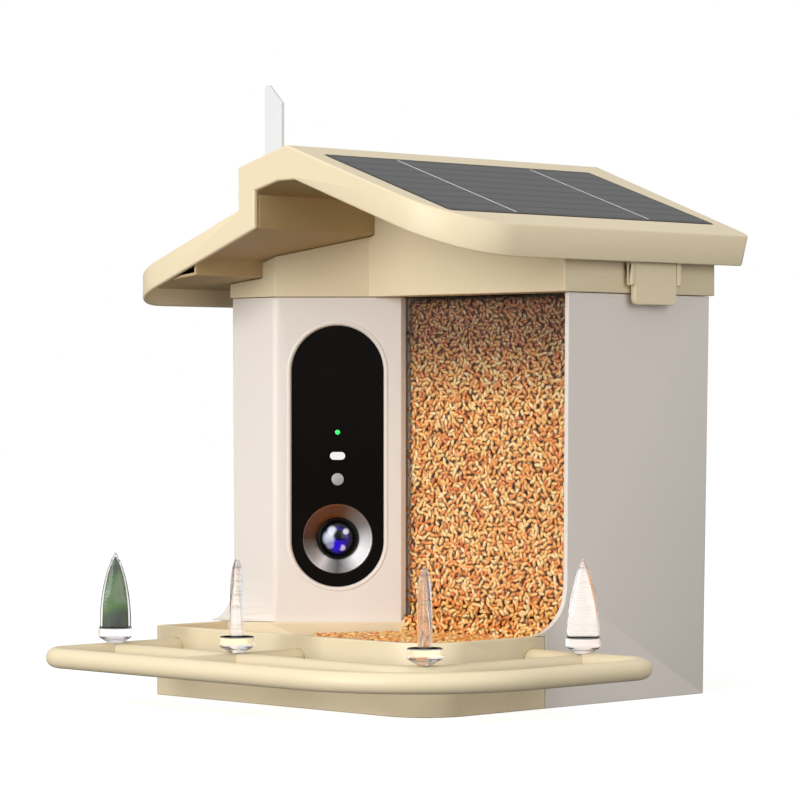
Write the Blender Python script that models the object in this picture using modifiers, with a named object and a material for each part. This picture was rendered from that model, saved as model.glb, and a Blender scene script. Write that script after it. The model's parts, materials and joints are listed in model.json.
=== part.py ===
"""Smart bird feeder: a seed hopper with a camera column, a stepped solar roof, a tray and a perch.

Metres, +Z up. The origin is the middle of the house's base. The front gable faces -Y, the back +Y,
and the camera looks out of a face turned 45 degrees between the front and the right side.
"""

from math import atan2, ceil, cos, pi, radians, sin, sqrt

import bmesh
import bpy
from mathutils import Matrix, Vector

MM = 0.001

# Driving dimensions of the house
house_half = 101.9 * MM
house_back = 57.1 * MM
wing_front = 57.2 * MM
wing_setback = 4.6 * MM
column_front = 91.8 * MM
face_offset = 23.8 * MM
window_front = 41.1 * MM
wall = 2.6 * MM
body_height = 202.0 * MM
side_draft = 1.6 * MM
back_draft = 3.0 * MM
collar_lip = 1.5 * MM
collar_wall = 2.4 * MM
house_corner = 3.0 * MM
cavity_corner = 1.0 * MM
collar_corner = 1.6 * MM
face_corner = 6.0 * MM
column_corner = 1.2 * MM
flare_top = 57.0 * MM
flare_reach = 18.2 * MM
foot_reach = 10.4 * MM
sill_height = 36.0 * MM

# Driving dimensions of the roof: the ridge stands on the body, and the rest drops from it
ridge_x = -7.3 * MM
ridge_rise = 72.8 * MM
right_overhang = 8.7 * MM
right_eave_x = house_half + right_overhang
right_eave_drop = 41.7 * MM
step_x = -42.1 * MM
step_top_drop = 9.6 * MM
step_foot_drop = 30.9 * MM
left_overhang = 28.3 * MM
left_eave_x = -house_half - left_overhang
left_eave_drop = 63.8 * MM
fascia_right = 15.9 * MM
fascia_left = 13.1 * MM
fascia_peak = 16.4 * MM
roof_front = 140.7 * MM
roof_back = 73.0 * MM
roof_back_lean = 16.3 * MM
roof_wall = 3.0 * MM
skirt = 3.0 * MM
roof_corner_right = 40.0 * MM
roof_corner_left = 25.0 * MM
roof_corner_back = 5.0 * MM
inner_step_x = -30.0 * MM
inner_step_foot_drop = 40.4 * MM
rib_x = -77.2 * MM
rib_top_drop = 54.3 * MM
rib_foot_drop = 62.3 * MM
inner_eave_drop = 67.6 * MM
liner_sheet = 1.5 * MM
ridge_height = body_height + ridge_rise
right_eave_height = ridge_height - right_eave_drop
step_top_height = ridge_height - step_top_drop
step_foot_height = ridge_height - step_foot_drop
left_eave_height = ridge_height - left_eave_drop
inner_step_foot_height = ridge_height - inner_step_foot_drop
rib_top_height = ridge_height - rib_top_drop
rib_foot_height = ridge_height - rib_foot_drop
inner_eave_height = ridge_height - inner_eave_drop

# Driving dimensions of the tray and the perch
tray_top = 35.2 * MM
tray_front = 149.9 * MM
tray_right_inset = 3.1 * MM
tray_right = house_half - tray_right_inset
tray_left_inset = 7.9 * MM
tray_left = tray_left_inset - house_half
tray_corner_right = 26.0 * MM
tray_corner_left = 2.0 * MM
tray_rim = 4.0 * MM
tray_floor = 4.0 * MM
perch_height = 24.4 * MM
perch_front = 236.1 * MM
perch_side = 177.8 * MM
perch_end = 77.5 * MM
perch_left = -78.0 * MM
perch_corner = 16.0 * MM
perch_sweep = 73.0 * MM
outer_rail_radius = 4.9 * MM
inner_rail_radius = 4.25 * MM
inner_rail_front = 189.8 * MM
inner_rail_side = 132.1 * MM
inner_rail_corner = 27.0 * MM
cross_bar_x = 11.4 * MM

# Driving dimensions of the camera
bezel_width = 47.8 * MM
bezel_height = 134.7 * MM
bezel_foot_height = 53.0 * MM
face_along = -56.9 * MM
bezel_recess = 1.8 * MM
bezel_sheet = 3.0 * MM
lens_rise = 24.9 * MM
led_rise = 79.7 * MM
light_rise = 67.5 * MM
pir_rise = 55.5 * MM
lens_height = bezel_foot_height + lens_rise
led_height = bezel_foot_height + led_rise
light_height = bezel_foot_height + light_rise
pir_height = bezel_foot_height + pir_rise
lens_ring_radius = 18.0 * MM
lens_barrel_radius = 10.5 * MM
lens_radius = 8.1 * MM

# Fits and cuts shared by all pieces
clearance = 0.3 * MM
overrun = 5.0 * MM
weld = 0.001 * MM
corner_steps = 6
corner_chord = 4.0 * MM
rail_chord = 20.0 * MM
pill_steps = 12
smooth_angle = radians(35)

UPRIGHT = Matrix.Identity(4)
FROM_FRONT = Matrix(((1, 0, 0, 0), (0, 0, -1, 0), (0, 1, 0, 0), (0, 0, 0, 1)))
FROM_RIGHT = Matrix(((0, 0, 1, 0), (1, 0, 0, 0), (0, 1, 0, 0), (0, 0, 0, 1)))

for old in list(bpy.data.objects):
    bpy.data.objects.remove(old)
parts = bpy.data.collections.new("bird_feeder")
cutters = bpy.data.collections.new("cutters")
for group in (parts, cutters):
    bpy.context.scene.collection.children.link(group)


# Tools for outlines


def rounded(corners, chord=corner_chord):
    """The outline through (x, y, radius) corners, with an arc at each radius over zero."""
    points = []
    for i, (x, y, radius) in enumerate(corners):
        corner = Vector((x, y))
        if radius == 0:
            points.append(corner)
            continue
        before = (Vector(corners[i - 1][:2]) - corner).normalized()
        after = (Vector(corners[(i + 1) % len(corners)][:2]) - corner).normalized()
        half_angle = before.angle(after) / 2
        middle = corner + (before + after).normalized() * radius / sin(half_angle)
        start = corner + before * radius / tangent(half_angle) - middle
        end = corner + after * radius / tangent(half_angle) - middle
        turn = start.angle(end)
        steps = max(corner_steps, ceil(radius * turn / chord))
        for step in range(steps + 1):
            share = step / steps
            swept = start * sin((1 - share) * turn) + end * sin(share * turn)
            points.append(middle + swept / sin(turn))
    return points


def tangent(angle):
    return sin(angle) / cos(angle)


def plain(points):
    """Corners without a radius."""
    return [(x, y, 0) for x, y in points]


def rectangle(left, low, right, high, radius=0.0):
    return rounded(
        [(left, low, radius), (right, low, radius), (right, high, radius), (left, high, radius)]
    )


def circle(radius, steps=24, x=0.0, y=0.0):
    turns = [2 * pi * step / steps for step in range(steps)]
    return [Vector((x + radius * cos(turn), y + radius * sin(turn))) for turn in turns]


def pill(width, height, x=0.0, y=0.0):
    """An upright slot outline with round ends, or a lying one where it is wider than high."""
    radius = min(width, height) / 2
    reach = max(width, height) / 2 - radius
    points = []
    for end in (1, -1):
        for step in range(pill_steps + 1):
            turn = pi * step / pill_steps
            across = end * radius * cos(turn)
            along = end * (reach + radius * sin(turn))
            upright = (across, along) if height > width else (along, -across)
            points.append(Vector((x + upright[0], y + upright[1])))
    return points


# Tools for solids


def finished(shape, name, place=UPRIGHT):
    """A welded mesh object with outward faces from a bmesh, put in its place."""
    bmesh.ops.remove_doubles(shape, verts=shape.verts, dist=weld)
    bmesh.ops.recalc_face_normals(shape, faces=shape.faces)
    shape.transform(place)
    mesh = bpy.data.meshes.new(name)
    shape.to_mesh(mesh)
    shape.free()
    made = bpy.data.objects.new(name, mesh)
    parts.objects.link(made)
    return made


def evaluated(guide, name, place=UPRIGHT):
    """The guide's evaluated shape as a solid; the guide is removed."""
    bpy.context.scene.collection.objects.link(guide)
    graph = bpy.context.evaluated_depsgraph_get()
    mesh = bpy.data.meshes.new_from_object(guide.evaluated_get(graph))
    bpy.data.objects.remove(guide)
    shape = bmesh.new()
    shape.from_mesh(mesh)
    bpy.data.meshes.remove(mesh)
    return finished(shape, name, place)


def prism(name, outline, low, high, place=UPRIGHT, holes=()):
    """A filled outline in the place's XY plane, from low to high along the place's Z axis."""
    curve = bpy.data.curves.new(name, "CURVE")
    curve.dimensions = "2D"
    curve.fill_mode = "BOTH"
    curve.extrude = (high - low) / 2
    for points in (outline, *holes):
        spline = curve.splines.new("POLY")
        spline.points.add(len(points) - 1)
        for point, (x, y) in zip(spline.points, points):
            point.co = (x, y, 0, 1)
        spline.use_cyclic_u = True
    guide = bpy.data.objects.new(name, curve)
    return evaluated(guide, name, place @ Matrix.Translation((0, 0, (low + high) / 2)))


def front_prism(name, outline, front, back):
    """An outline in X and Z, from y = front to y = back."""
    return prism(name, outline, -back, -front, FROM_FRONT)


def side_prism(name, outline, left, right):
    """An outline in Y and Z, from x = left to x = right."""
    return prism(name, outline, left, right, FROM_RIGHT)


def loft(name, sections):
    """A skin through outlines of equal count, each with its height, closed by flat ends."""
    shape = bmesh.new()
    rings = [[shape.verts.new((x, y, height)) for x, y in outline] for outline, height in sections]
    for lower, upper in zip(rings, rings[1:]):
        for i, corner in enumerate(lower):
            j = (i + 1) % len(lower)
            shape.faces.new((corner, lower[j], upper[j], upper[i]))
    shape.faces.new(rings[0][::-1])
    shape.faces.new(rings[-1])
    return finished(shape, name)


def tube(name, path, radius, height):
    """A round bar along a path of points at one height."""
    curve = bpy.data.curves.new(name, "CURVE")
    curve.dimensions = "3D"
    curve.bevel_depth = radius
    curve.bevel_resolution = 3
    curve.use_fill_caps = True
    spline = curve.splines.new("POLY")
    spline.points.add(len(path) - 1)
    for point, (x, y) in zip(spline.points, path):
        point.co = (x, y, height, 1)
    return evaluated(bpy.data.objects.new(name, curve), name)


def turned(name, profile, place=UPRIGHT, steps=24, closed=True):
    """A profile of (radius, height) turned about the place's Z axis."""
    mesh = bpy.data.meshes.new(name)
    edges = [(i, i + 1) for i in range(len(profile) - 1)]
    if closed:
        edges.append((len(profile) - 1, 0))
    mesh.from_pydata([(radius, 0, height) for radius, height in profile], edges, [])
    guide = bpy.data.objects.new(name, mesh)
    screw = guide.modifiers.new("turn", "SCREW")
    screw.steps = screw.render_steps = steps
    screw.use_merge_vertices = True
    screw.merge_threshold = weld
    return evaluated(guide, name, place)


def combine(target, other, operation):
    """A live Boolean on the target; the other solid is kept only as its operand."""
    modifier = target.modifiers.new(other.name, "BOOLEAN")
    modifier.operation = operation
    modifier.object = other
    other.hide_render = True
    other.display_type = "WIRE"
    if other.name in parts.objects:
        parts.objects.unlink(other)
        cutters.objects.link(other)


def cut(target, *others):
    for other in others:
        combine(target, other, "DIFFERENCE")


def join(target, *others):
    for other in others:
        combine(target, other, "UNION")


def finish(made, colour, roughness, metallic=0.0, alpha=1.0):
    """The piece's own material, and smooth shading across its soft edges."""
    material = bpy.data.materials.new(made.name)
    material.use_nodes = True
    shader = material.node_tree.nodes["Principled BSDF"]
    shader.inputs["Base Color"].default_value = (*colour, 1)
    shader.inputs["Roughness"].default_value = roughness
    shader.inputs["Metallic"].default_value = metallic
    shader.inputs["Alpha"].default_value = alpha
    made.data.materials.append(material)
    made.data.shade_smooth()
    made.data.set_sharp_from_angle(angle=smooth_angle)
    return made


def turns_about(made, pivot):
    """Moves the origin onto the joint's axis and leaves the shape where it is."""
    made.data.transform(Matrix.Translation(-Vector(pivot)))
    made.location = pivot


WHITE = (0.78, 0.74, 0.71)
BEIGE = (0.70, 0.62, 0.44)
BLACK = (0.015, 0.015, 0.016)
STEEL = (0.55, 0.55, 0.56)
GREEN_BOARD = (0.02, 0.16, 0.07)


# House: body, collar, window, hopper


def side_at(height):
    """The body's half width at a height: the moulding's draft makes its base narrower."""
    return house_half - collar_lip - side_draft * (1 - height / body_height)


def back_at(height):
    return house_back - collar_lip - back_draft * (1 - height / body_height)


def body_outline(height, reach):
    """The body with both side walls running past the front by reach at their edges.

    The right wall's edge stands back from the collar's where it has no flare or foot.
    """
    side = side_at(height)
    back = back_at(height)
    wing = wing_front + reach - wing_setback * (1 - min(reach / foot_reach, 1))
    return rounded(
        [
            (side, -wing, 0),
            (side, back, house_corner),
            (-side, back, house_corner),
            (-side, -column_front - reach, column_corner),
            (face_offset - column_front, -column_front, face_corner),
            (face_offset - window_front, -window_front, 0),
            (side - wall, -window_front, 0),
            (side - wall, -wing, 0),
        ]
    )


def cavity_outline(height):
    side = side_at(height) - wall
    back = back_at(height) - wall
    inner_offset = face_offset - wall * sqrt(2)
    inner_front = column_front - wall
    inner_window = window_front - wall
    return rounded(
        [
            (side, -inner_window, 0),
            (side, back, cavity_corner),
            (-side, back, cavity_corner),
            (-side, -inner_front, 0),
            (inner_offset - inner_front, -inner_front, 0),
            (inner_offset - inner_window, -inner_window, 0),
        ]
    )


def flare_sections():
    """Quarter-round flare of the side walls' front edges, from the tray's rim upwards."""
    flare_foot = tray_top + clearance
    steps = 5
    for step in range(steps, -1, -1):
        turn = pi / 2 * step / steps
        height = flare_top - (flare_top - flare_foot) * sin(turn)
        yield body_outline(height, flare_reach * (1 - cos(turn))), height


body_shell = loft(
    "body_shell",
    [
        (body_outline(0, foot_reach), 0),
        (body_outline(tray_top, foot_reach), tray_top),
        *flare_sections(),
        (body_outline(body_height, 0), body_height),
    ],
)
body_cavity = loft(
    "body_cavity",
    [(cavity_outline(wall), wall), (cavity_outline(body_height + overrun), body_height + overrun)],
)
window_reach = 4.6 * MM
window_left = face_offset - window_front - window_reach
window_right = side_at(0) - wall
window_cut = front_prism(
    "window_cut",
    rectangle(window_left, sill_height, window_right, body_height + overrun),
    -window_front - overrun,
    -window_front + wall + overrun,
)
cut(body_shell, body_cavity, window_cut)
finish(body_shell, WHITE, 0.42)

pane = 2.0 * MM
pane_foot = 48.0 * MM
seed_window = front_prism(
    "seed_window",
    rectangle(window_left + clearance, pane_foot, window_right - clearance, body_height - clearance),
    -window_front,
    -window_front + pane,
)
finish(seed_window, (0.9, 0.93, 0.95), 0.05, alpha=0.25)

partition_x = -26.0 * MM
partition_sheet = 2.0 * MM
partition_front = -window_front + wall + clearance
partition_back = back_at(0) - wall - clearance
hopper_partition = prism(
    "hopper_partition",
    rectangle(partition_x, partition_front, partition_x + partition_sheet, partition_back),
    wall + clearance,
    body_height - clearance,
)
finish(hopper_partition, WHITE, 0.5)

ramp_back_height = 92.0 * MM
ramp_sheet = 2.5 * MM
hopper_left = partition_x + partition_sheet + clearance
hopper_right = side_at(0) - wall - clearance
ramp_drop = (ramp_back_height - sill_height) / (partition_back - partition_front)
hopper_ramp = side_prism(
    "hopper_ramp",
    [
        (partition_front, sill_height - ramp_sheet),
        (partition_back, ramp_back_height - ramp_sheet),
        (partition_back, ramp_back_height),
        (partition_front, sill_height),
    ],
    hopper_left,
    hopper_right,
)
finish(hopper_ramp, WHITE, 0.5)

seed_slump = 4.5 * MM
seed_front = partition_front - clearance
slump_y = seed_front + seed_slump
slump_height = sill_height + ramp_drop * (slump_y - partition_front) + clearance
seed_fill = side_prism(
    "seed_fill",
    [
        (seed_front, pane_foot + seed_slump),
        (slump_y, slump_height + seed_slump),
        (slump_y, slump_height),
        (partition_back, ramp_back_height + clearance),
        (partition_back, body_height - clearance),
        (seed_front, body_height - clearance),
    ],
    hopper_left,
    hopper_right - clearance,
)
finish(seed_fill, (0.62, 0.33, 0.10), 0.7)

# Lines of the roof's outside and of the space under it


def top_line(drop):
    """The roof's top from the right eave to the left one, moved down by drop."""
    return [
        (right_eave_x, right_eave_height - drop),
        (ridge_x, ridge_height - drop),
        (step_x + drop, step_top_height - drop + drop * ridge_fall),
        (step_x + drop, step_foot_height - drop + drop * left_fall),
        (left_eave_x, left_eave_height - drop),
    ]


def liner_line(drop):
    """The stepped underside of the left slope, from the inner step to the left skirt."""
    return [
        (inner_step_x, ridge_height - roof_wall - drop - (ridge_x - inner_step_x) * ridge_fall),
        (inner_step_x, inner_step_foot_height - drop),
        (rib_x, rib_top_height - drop),
        (rib_x, rib_foot_height - drop),
        (left_eave_x + skirt, inner_eave_height - drop),
    ]


ridge_fall = (ridge_height - step_top_height) / (ridge_x - step_x)
right_fall = (ridge_height - right_eave_height) / (right_eave_x - ridge_x)
left_fall = (step_foot_height - left_eave_height) / (step_x - left_eave_x)


def collar_outline(inset):
    """The collar around the body's top, with one straight front wall above the window."""
    front_inset = inset
    offset = face_offset + clearance - inset * sqrt(2)
    column = column_front - front_inset
    gable = wing_front - front_inset
    side = house_half - inset
    back = house_back - inset
    corner = max(collar_corner - inset, 0)
    return rounded(
        [
            (side, -gable, 0),
            (side, back, corner),
            (-side, back, corner),
            (-side, -column, 0),
            (offset - column, -column, 0),
            (offset - gable, -gable, 0),
        ]
    )


collar_foot = body_height + clearance
deck = 2.0 * MM
collar_reach = ridge_height + overrun
collar = prism("collar", collar_outline(0), collar_foot, collar_reach)
collar_cavity = prism(
    "collar_cavity", collar_outline(collar_wall), collar_foot + deck, collar_reach + overrun
)
mouth_inset = 2.0 * MM
mouth_left = hopper_left + mouth_inset
mouth_right = hopper_right - mouth_inset
mouth_front = seed_front + mouth_inset
mouth_back = partition_back - mouth_inset
hopper_mouth = prism(
    "hopper_mouth",
    rectangle(mouth_left, mouth_front, mouth_right, mouth_back, mouth_inset),
    collar_foot - overrun,
    collar_foot + deck + overrun,
)
under_roof = front_prism(
    "under_roof",
    rounded(
        plain(
            [
                (right_eave_x, right_eave_height - roof_wall - clearance),
                (ridge_x, ridge_height - roof_wall - clearance),
                *liner_line(clearance),
                (left_eave_x, inner_eave_height - clearance),
                (left_eave_x, collar_reach + overrun),
                (right_eave_x, collar_reach + overrun),
            ]
        )
    ),
    -roof_front,
    roof_back + roof_back_lean,
)
cut(collar, collar_cavity, hopper_mouth, under_roof)

# Roof hinge: lugs on the collar's left wall and on the roof's liner share one pin
hinge_reach = 4.3 * MM
hinge_x = -house_half - hinge_reach
hinge_drop = 1.8 * MM
hinge_height = inner_eave_height - hinge_drop
lug_radius = 3.2 * MM
lug_width = 10.0 * MM
hinge_pin_radius = 1.5 * MM
hinge_spots = (-30.0 * MM, 30.0 * MM)


def hinge_bore(name, radius, front, back):
    return front_prism(name, circle(radius, 16, hinge_x, hinge_height), front, back)


pin_front = hinge_spots[0] - lug_width
pin_back = hinge_spots[1] + lug_width
collar_bore = hinge_bore(
    "hinge_bore", hinge_pin_radius + clearance, pin_front - overrun, pin_back + overrun
)
collar_lugs = [
    front_prism(
        f"collar_lug_{number}",
        [
            *circle(lug_radius, 16, hinge_x, hinge_height)[4:13],
            (-house_half + collar_wall / 2, hinge_height - lug_radius),
            (-house_half + collar_wall / 2, hinge_height + lug_radius / 2),
            (hinge_x, hinge_height + lug_radius),
        ],
        start,
        start + lug_width,
    )
    for number, start in enumerate((pin_front, hinge_spots[1]), 1)
]
join(collar, *collar_lugs)
cut(collar, collar_bore)
finish(collar, BEIGE, 0.45)

hinge_pin = hinge_bore("hinge_pin", hinge_pin_radius, pin_front, pin_back)
finish(hinge_pin, STEEL, 0.3, metallic=1.0)

# Roof shell


def roof_block(name, inset, drop, foot):
    """The roof's outline as seen from the front and from above, moved in by inset and drop."""
    profile = front_prism(
        name,
        [*top_line(drop), *foot],
        -roof_front - overrun,
        roof_back + roof_back_lean + 2 * overrun,
    )
    low_height = left_eave_height - 3 * fascia_left
    high_height = ridge_height + overrun
    lean = roof_back_lean / (ridge_height - right_eave_height + fascia_right / 2)

    def plan(height):
        back = roof_back + lean * (height - right_eave_height + fascia_right / 2) - inset
        front = -roof_front + inset
        left = left_eave_x + inset
        right = right_eave_x - inset
        return rounded(
            [
                (left, front, roof_corner_left - inset),
                (right, front, roof_corner_right - inset),
                (right, back, roof_corner_back - inset),
                (left, back, roof_corner_back - inset),
            ]
        )

    walls = loft(f"{name}_plan", [(plan(low_height), low_height), (plan(high_height), high_height)])
    combine(profile, walls, "INTERSECT")
    return profile


arch_half = 6.0 * MM
roof_shell = roof_block(
    "roof_shell",
    0,
    0,
    [
        (left_eave_x, left_eave_height - fascia_left),
        (inner_step_x, inner_step_foot_height),
        (inner_step_x, inner_step_foot_height + (step_top_height - step_foot_height) * 0.88),
        (ridge_x - arch_half, ridge_height - fascia_peak - arch_half * right_fall / 2),
        (ridge_x + arch_half, ridge_height - fascia_peak - arch_half * right_fall / 2),
        (right_eave_x, right_eave_height - fascia_right),
    ],
)
attic_foot = left_eave_height - 2 * fascia_left
roof_attic = roof_block(
    "roof_attic", skirt, roof_wall, [(left_eave_x, attic_foot), (right_eave_x, attic_foot)]
)
cut(roof_shell, roof_attic)

# Latch ears under the right eave
latch_reach = 3.1 * MM
latch_x = house_half + latch_reach
latch_drop = 14.5 * MM
latch_length = 22.0 * MM
latch_height = right_eave_height - latch_drop
latch_foot = latch_height - latch_length
latch_front = -10.4 * MM
latch_back = 21.3 * MM
latch_sheet = 3.0 * MM
latch_barrel_radius = 2.1 * MM
latch_pin_radius = 0.8 * MM
latch_corner = 3.0 * MM
ear_width = 3.4 * MM
ear_length = 12.6 * MM
ear_foot = latch_height - ear_length
ear_half = 1.9 * MM
ear_top = latch_height + 2 * ear_half
skirt_inside = right_eave_x - skirt
for number, start in enumerate((latch_front - clearance - ear_width, latch_back + clearance), 1):
    ear = front_prism(
        f"latch_ear_{number}",
        [
            (latch_x - ear_half, ear_foot),
            (latch_x + ear_half, ear_foot),
            (latch_x + ear_half, latch_height),
            (skirt_inside + skirt / 3, latch_height),
            (skirt_inside + skirt / 3, ear_top),
            (latch_x - ear_half, ear_top),
        ],
        start,
        start + ear_width,
    )
    join(roof_shell, ear)
latch_bore = front_prism(
    "latch_bore",
    circle(latch_pin_radius + clearance, 12, latch_x, latch_height),
    latch_front - ear_width - overrun,
    latch_back + ear_width + overrun,
)
cut(roof_shell, latch_bore)

# Solar panel, sunk into the right slope
panel_left = 5.7 * MM
panel_right = 92.0 * MM
panel_front = -127.0 * MM
panel_back = 68.0 * MM
panel_sheet = 1.3 * MM
panel_corner = 2.0 * MM
slope_angle = atan2(ridge_height - right_eave_height, right_eave_x - ridge_x)
panel_middle = (panel_left + panel_right) / 2
panel_height = ridge_height - (panel_middle - ridge_x) * right_fall
panel_half = (panel_right - panel_left) / 2 / cos(slope_angle)
SLOPE = Matrix.Translation((panel_middle, 0, panel_height)) @ Matrix.Rotation(slope_angle, 4, "Y")
panel_recess = prism(
    "panel_recess",
    rectangle(
        -panel_half - clearance,
        panel_front - clearance,
        panel_half + clearance,
        panel_back + clearance,
        panel_corner,
    ),
    -panel_sheet - clearance,
    overrun,
    SLOPE,
)
cut(roof_shell, panel_recess)
finish(roof_shell, BEIGE, 0.45)
solar_panel = prism(
    "solar_panel",
    rectangle(-panel_half, panel_front, panel_half, panel_back, panel_corner),
    -panel_sheet,
    0,
    SLOPE,
)
finish(solar_panel, (0.03, 0.035, 0.04), 0.18)

junction_half = 17.0 * MM
junction_length = 46.0 * MM
junction_depth = 9.0 * MM
junction_box = prism(
    "junction_box",
    rectangle(-junction_length / 2, -junction_half, junction_length / 2, junction_half, panel_corner),
    -roof_wall - clearance - junction_depth,
    -roof_wall - clearance,
    SLOPE,
)
finish(junction_box, BLACK, 0.5)

# Liner under the left slope, with the roof's hinge lugs
liner_top = [
    (x - liner_sheet if x > left_eave_x + skirt else x, height + liner_sheet)
    for x, height in liner_line(0)[1:]
]
liner_front = -roof_front + skirt + clearance
liner_back = roof_back - roof_back_lean
step_head = inner_step_foot_height + (step_top_height - step_foot_height) * 0.8
eave_liner = front_prism(
    "eave_liner",
    [
        (inner_step_x, step_head),
        (inner_step_x - liner_sheet, step_head),
        *liner_top[:-1],
        (left_eave_x + skirt + clearance, inner_eave_height + liner_sheet),
        (left_eave_x + skirt + clearance, inner_eave_height),
        *liner_line(0)[3:0:-1],
    ],
    liner_front,
    liner_back,
)
liner_plan = prism(
    "liner_plan",
    rounded(
        [
            (left_eave_x + skirt + clearance, liner_front, roof_corner_left - skirt - clearance),
            (right_eave_x, liner_front, 0),
            (right_eave_x, liner_back + overrun, 0),
            (left_eave_x + skirt + clearance, liner_back + overrun, 0),
        ]
    ),
    attic_foot,
    collar_reach,
)
combine(eave_liner, liner_plan, "INTERSECT")
lug_starts = (hinge_spots[0] + clearance, hinge_spots[1] - lug_width - clearance)
for number, start in enumerate(lug_starts, 1):
    lug = front_prism(
        f"roof_lug_{number}",
        [
            *circle(lug_radius, 16, hinge_x, hinge_height)[8:],
            (hinge_x + lug_radius, inner_eave_height + 2 * liner_sheet),
            (hinge_x - lug_radius, inner_eave_height + 2 * liner_sheet),
        ],
        start,
        start + lug_width,
    )
    join(eave_liner, lug)
roof_bore = hinge_bore(
    "roof_hinge_bore", hinge_pin_radius + clearance, pin_front - overrun, pin_back + overrun
)
cut(eave_liner, roof_bore)
finish(eave_liner, BEIGE, 0.5)

# Latch clip and its pin
latch_clip = side_prism(
    "latch_clip",
    rounded(
        [
            (latch_front, latch_foot, latch_corner),
            (latch_back, latch_foot, latch_corner),
            (latch_back, latch_height, 0),
            (latch_front, latch_height, 0),
        ]
    ),
    latch_x - latch_sheet / 2,
    latch_x + latch_sheet / 2,
)
latch_barrel = front_prism(
    "latch_barrel", circle(latch_barrel_radius, 16, latch_x, latch_height), latch_front, latch_back
)
latch_clip_bore = front_prism(
    "latch_clip_bore",
    circle(latch_pin_radius + clearance, 12, latch_x, latch_height),
    latch_front - overrun,
    latch_back + overrun,
)
latch_pin = front_prism(
    "latch_pin",
    circle(latch_pin_radius, 12, latch_x, latch_height),
    latch_front - ear_width,
    latch_back + ear_width,
)
latch_pivot = Vector((latch_x, 0, latch_height))
join(latch_clip, latch_barrel)
cut(latch_clip, latch_clip_bore)
turns_about(latch_clip, latch_pivot)
finish(latch_clip, BEIGE, 0.45)
finish(latch_pin, STEEL, 0.3, metallic=1.0)

# Antenna: a fork on the left slope, a pin and a flat blade
antenna_x = -69.7 * MM
antenna_y = -90.0 * MM
antenna_half = 6.3 * MM
antenna_sheet = 2.2 * MM
antenna_length = 70.8 * MM
antenna_slant = 9.4 * MM
antenna_tip = 3.0 * MM
antenna_pin_drop = 3.3 * MM
antenna_pin_height = step_foot_height - antenna_pin_drop
antenna_top = antenna_pin_height + antenna_length
antenna_shoulder = antenna_top - antenna_slant
antenna_pin_radius = 0.9 * MM
antenna_root = 1.5 * MM
fork_sheet = 2.0 * MM
fork_half = 5.0 * MM
fork_out = antenna_half + clearance + fork_sheet
fork_head = antenna_pin_height + 2 * fork_sheet


def left_slope(x):
    return step_foot_height - left_fall * (step_x - x) + clearance


antenna_base = front_prism(
    "antenna_base",
    [
        (antenna_x - fork_out, left_slope(antenna_x - fork_out)),
        (antenna_x + fork_out, left_slope(antenna_x + fork_out)),
        (antenna_x + fork_out, fork_head),
        (antenna_x + fork_out - fork_sheet, fork_head),
        (antenna_x + antenna_half + clearance, left_slope(antenna_x + antenna_half) + fork_sheet),
        (antenna_x - antenna_half - clearance, left_slope(antenna_x - antenna_half) + fork_sheet),
        (antenna_x - fork_out + fork_sheet, fork_head),
        (antenna_x - fork_out, fork_head),
    ],
    antenna_y - fork_half,
    antenna_y + fork_half,
)
fork_bore = side_prism(
    "fork_bore",
    circle(antenna_pin_radius + clearance, 12, antenna_y, antenna_pin_height),
    antenna_x - fork_out - overrun,
    antenna_x + fork_out + overrun,
)
antenna_blade = front_prism(
    "antenna_blade",
    [
        (antenna_x - antenna_half, antenna_pin_height - antenna_root),
        (antenna_x + antenna_half, antenna_pin_height - antenna_root),
        (antenna_x + antenna_half, antenna_shoulder),
        (antenna_x - antenna_half + antenna_tip, antenna_top),
        (antenna_x - antenna_half, antenna_top),
    ],
    antenna_y - antenna_sheet / 2,
    antenna_y + antenna_sheet / 2,
)
blade_boss = side_prism(
    "blade_boss",
    circle(antenna_root + clearance, 12, antenna_y, antenna_pin_height),
    antenna_x - antenna_half,
    antenna_x + antenna_half,
)
blade_bore = side_prism(
    "blade_bore",
    circle(antenna_pin_radius + clearance / 2, 12, antenna_y, antenna_pin_height),
    antenna_x - antenna_half - overrun,
    antenna_x + antenna_half + overrun,
)
antenna_pin = side_prism(
    "antenna_pin",
    circle(antenna_pin_radius, 12, antenna_y, antenna_pin_height),
    antenna_x - fork_out,
    antenna_x + fork_out,
)
cut(antenna_base, fork_bore)
join(antenna_blade, blade_boss)
cut(antenna_blade, blade_bore)
turns_about(antenna_blade, (antenna_x, antenna_y, antenna_pin_height))
finish(antenna_base, WHITE, 0.4)
finish(antenna_pin, STEEL, 0.3, metallic=1.0)
finish(antenna_blade, (0.9, 0.9, 0.9), 0.25, alpha=0.8)

# Tray


def tray_outline(inset):
    """The tray's edge, or its pocket's edge where inset is the rim."""
    gap = clearance + inset
    offset = face_offset + gap * sqrt(2)
    sill = window_front + gap
    foot_slope = foot_reach / (side_at(0) - (column_front - face_offset))
    left = tray_left + inset
    corner_x = face_offset - column_front + clearance
    column = column_front + gap + clearance
    outer_column = column + foot_slope * (corner_x - left)
    right_inner = side_at(0) - wall - gap
    side_end = wing_front + foot_reach + gap
    return rounded(
        [
            (left, -tray_front + inset, max(tray_corner_left - inset, 0)),
            (tray_right - inset, -tray_front + inset, tray_corner_right - inset),
            (tray_right - inset, -side_end, 0),
            (right_inner, -side_end, 0),
            (right_inner, -sill, 0),
            (offset - sill, -sill, 0),
            (offset - column, -column, 0),
            (left, -outer_column, 0),
        ]
    )


tray = prism("tray", tray_outline(0), 0, tray_top)
tray_pocket = prism("tray_pocket", tray_outline(tray_rim), tray_floor, tray_top + overrun)
cut(tray, tray_pocket)

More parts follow.
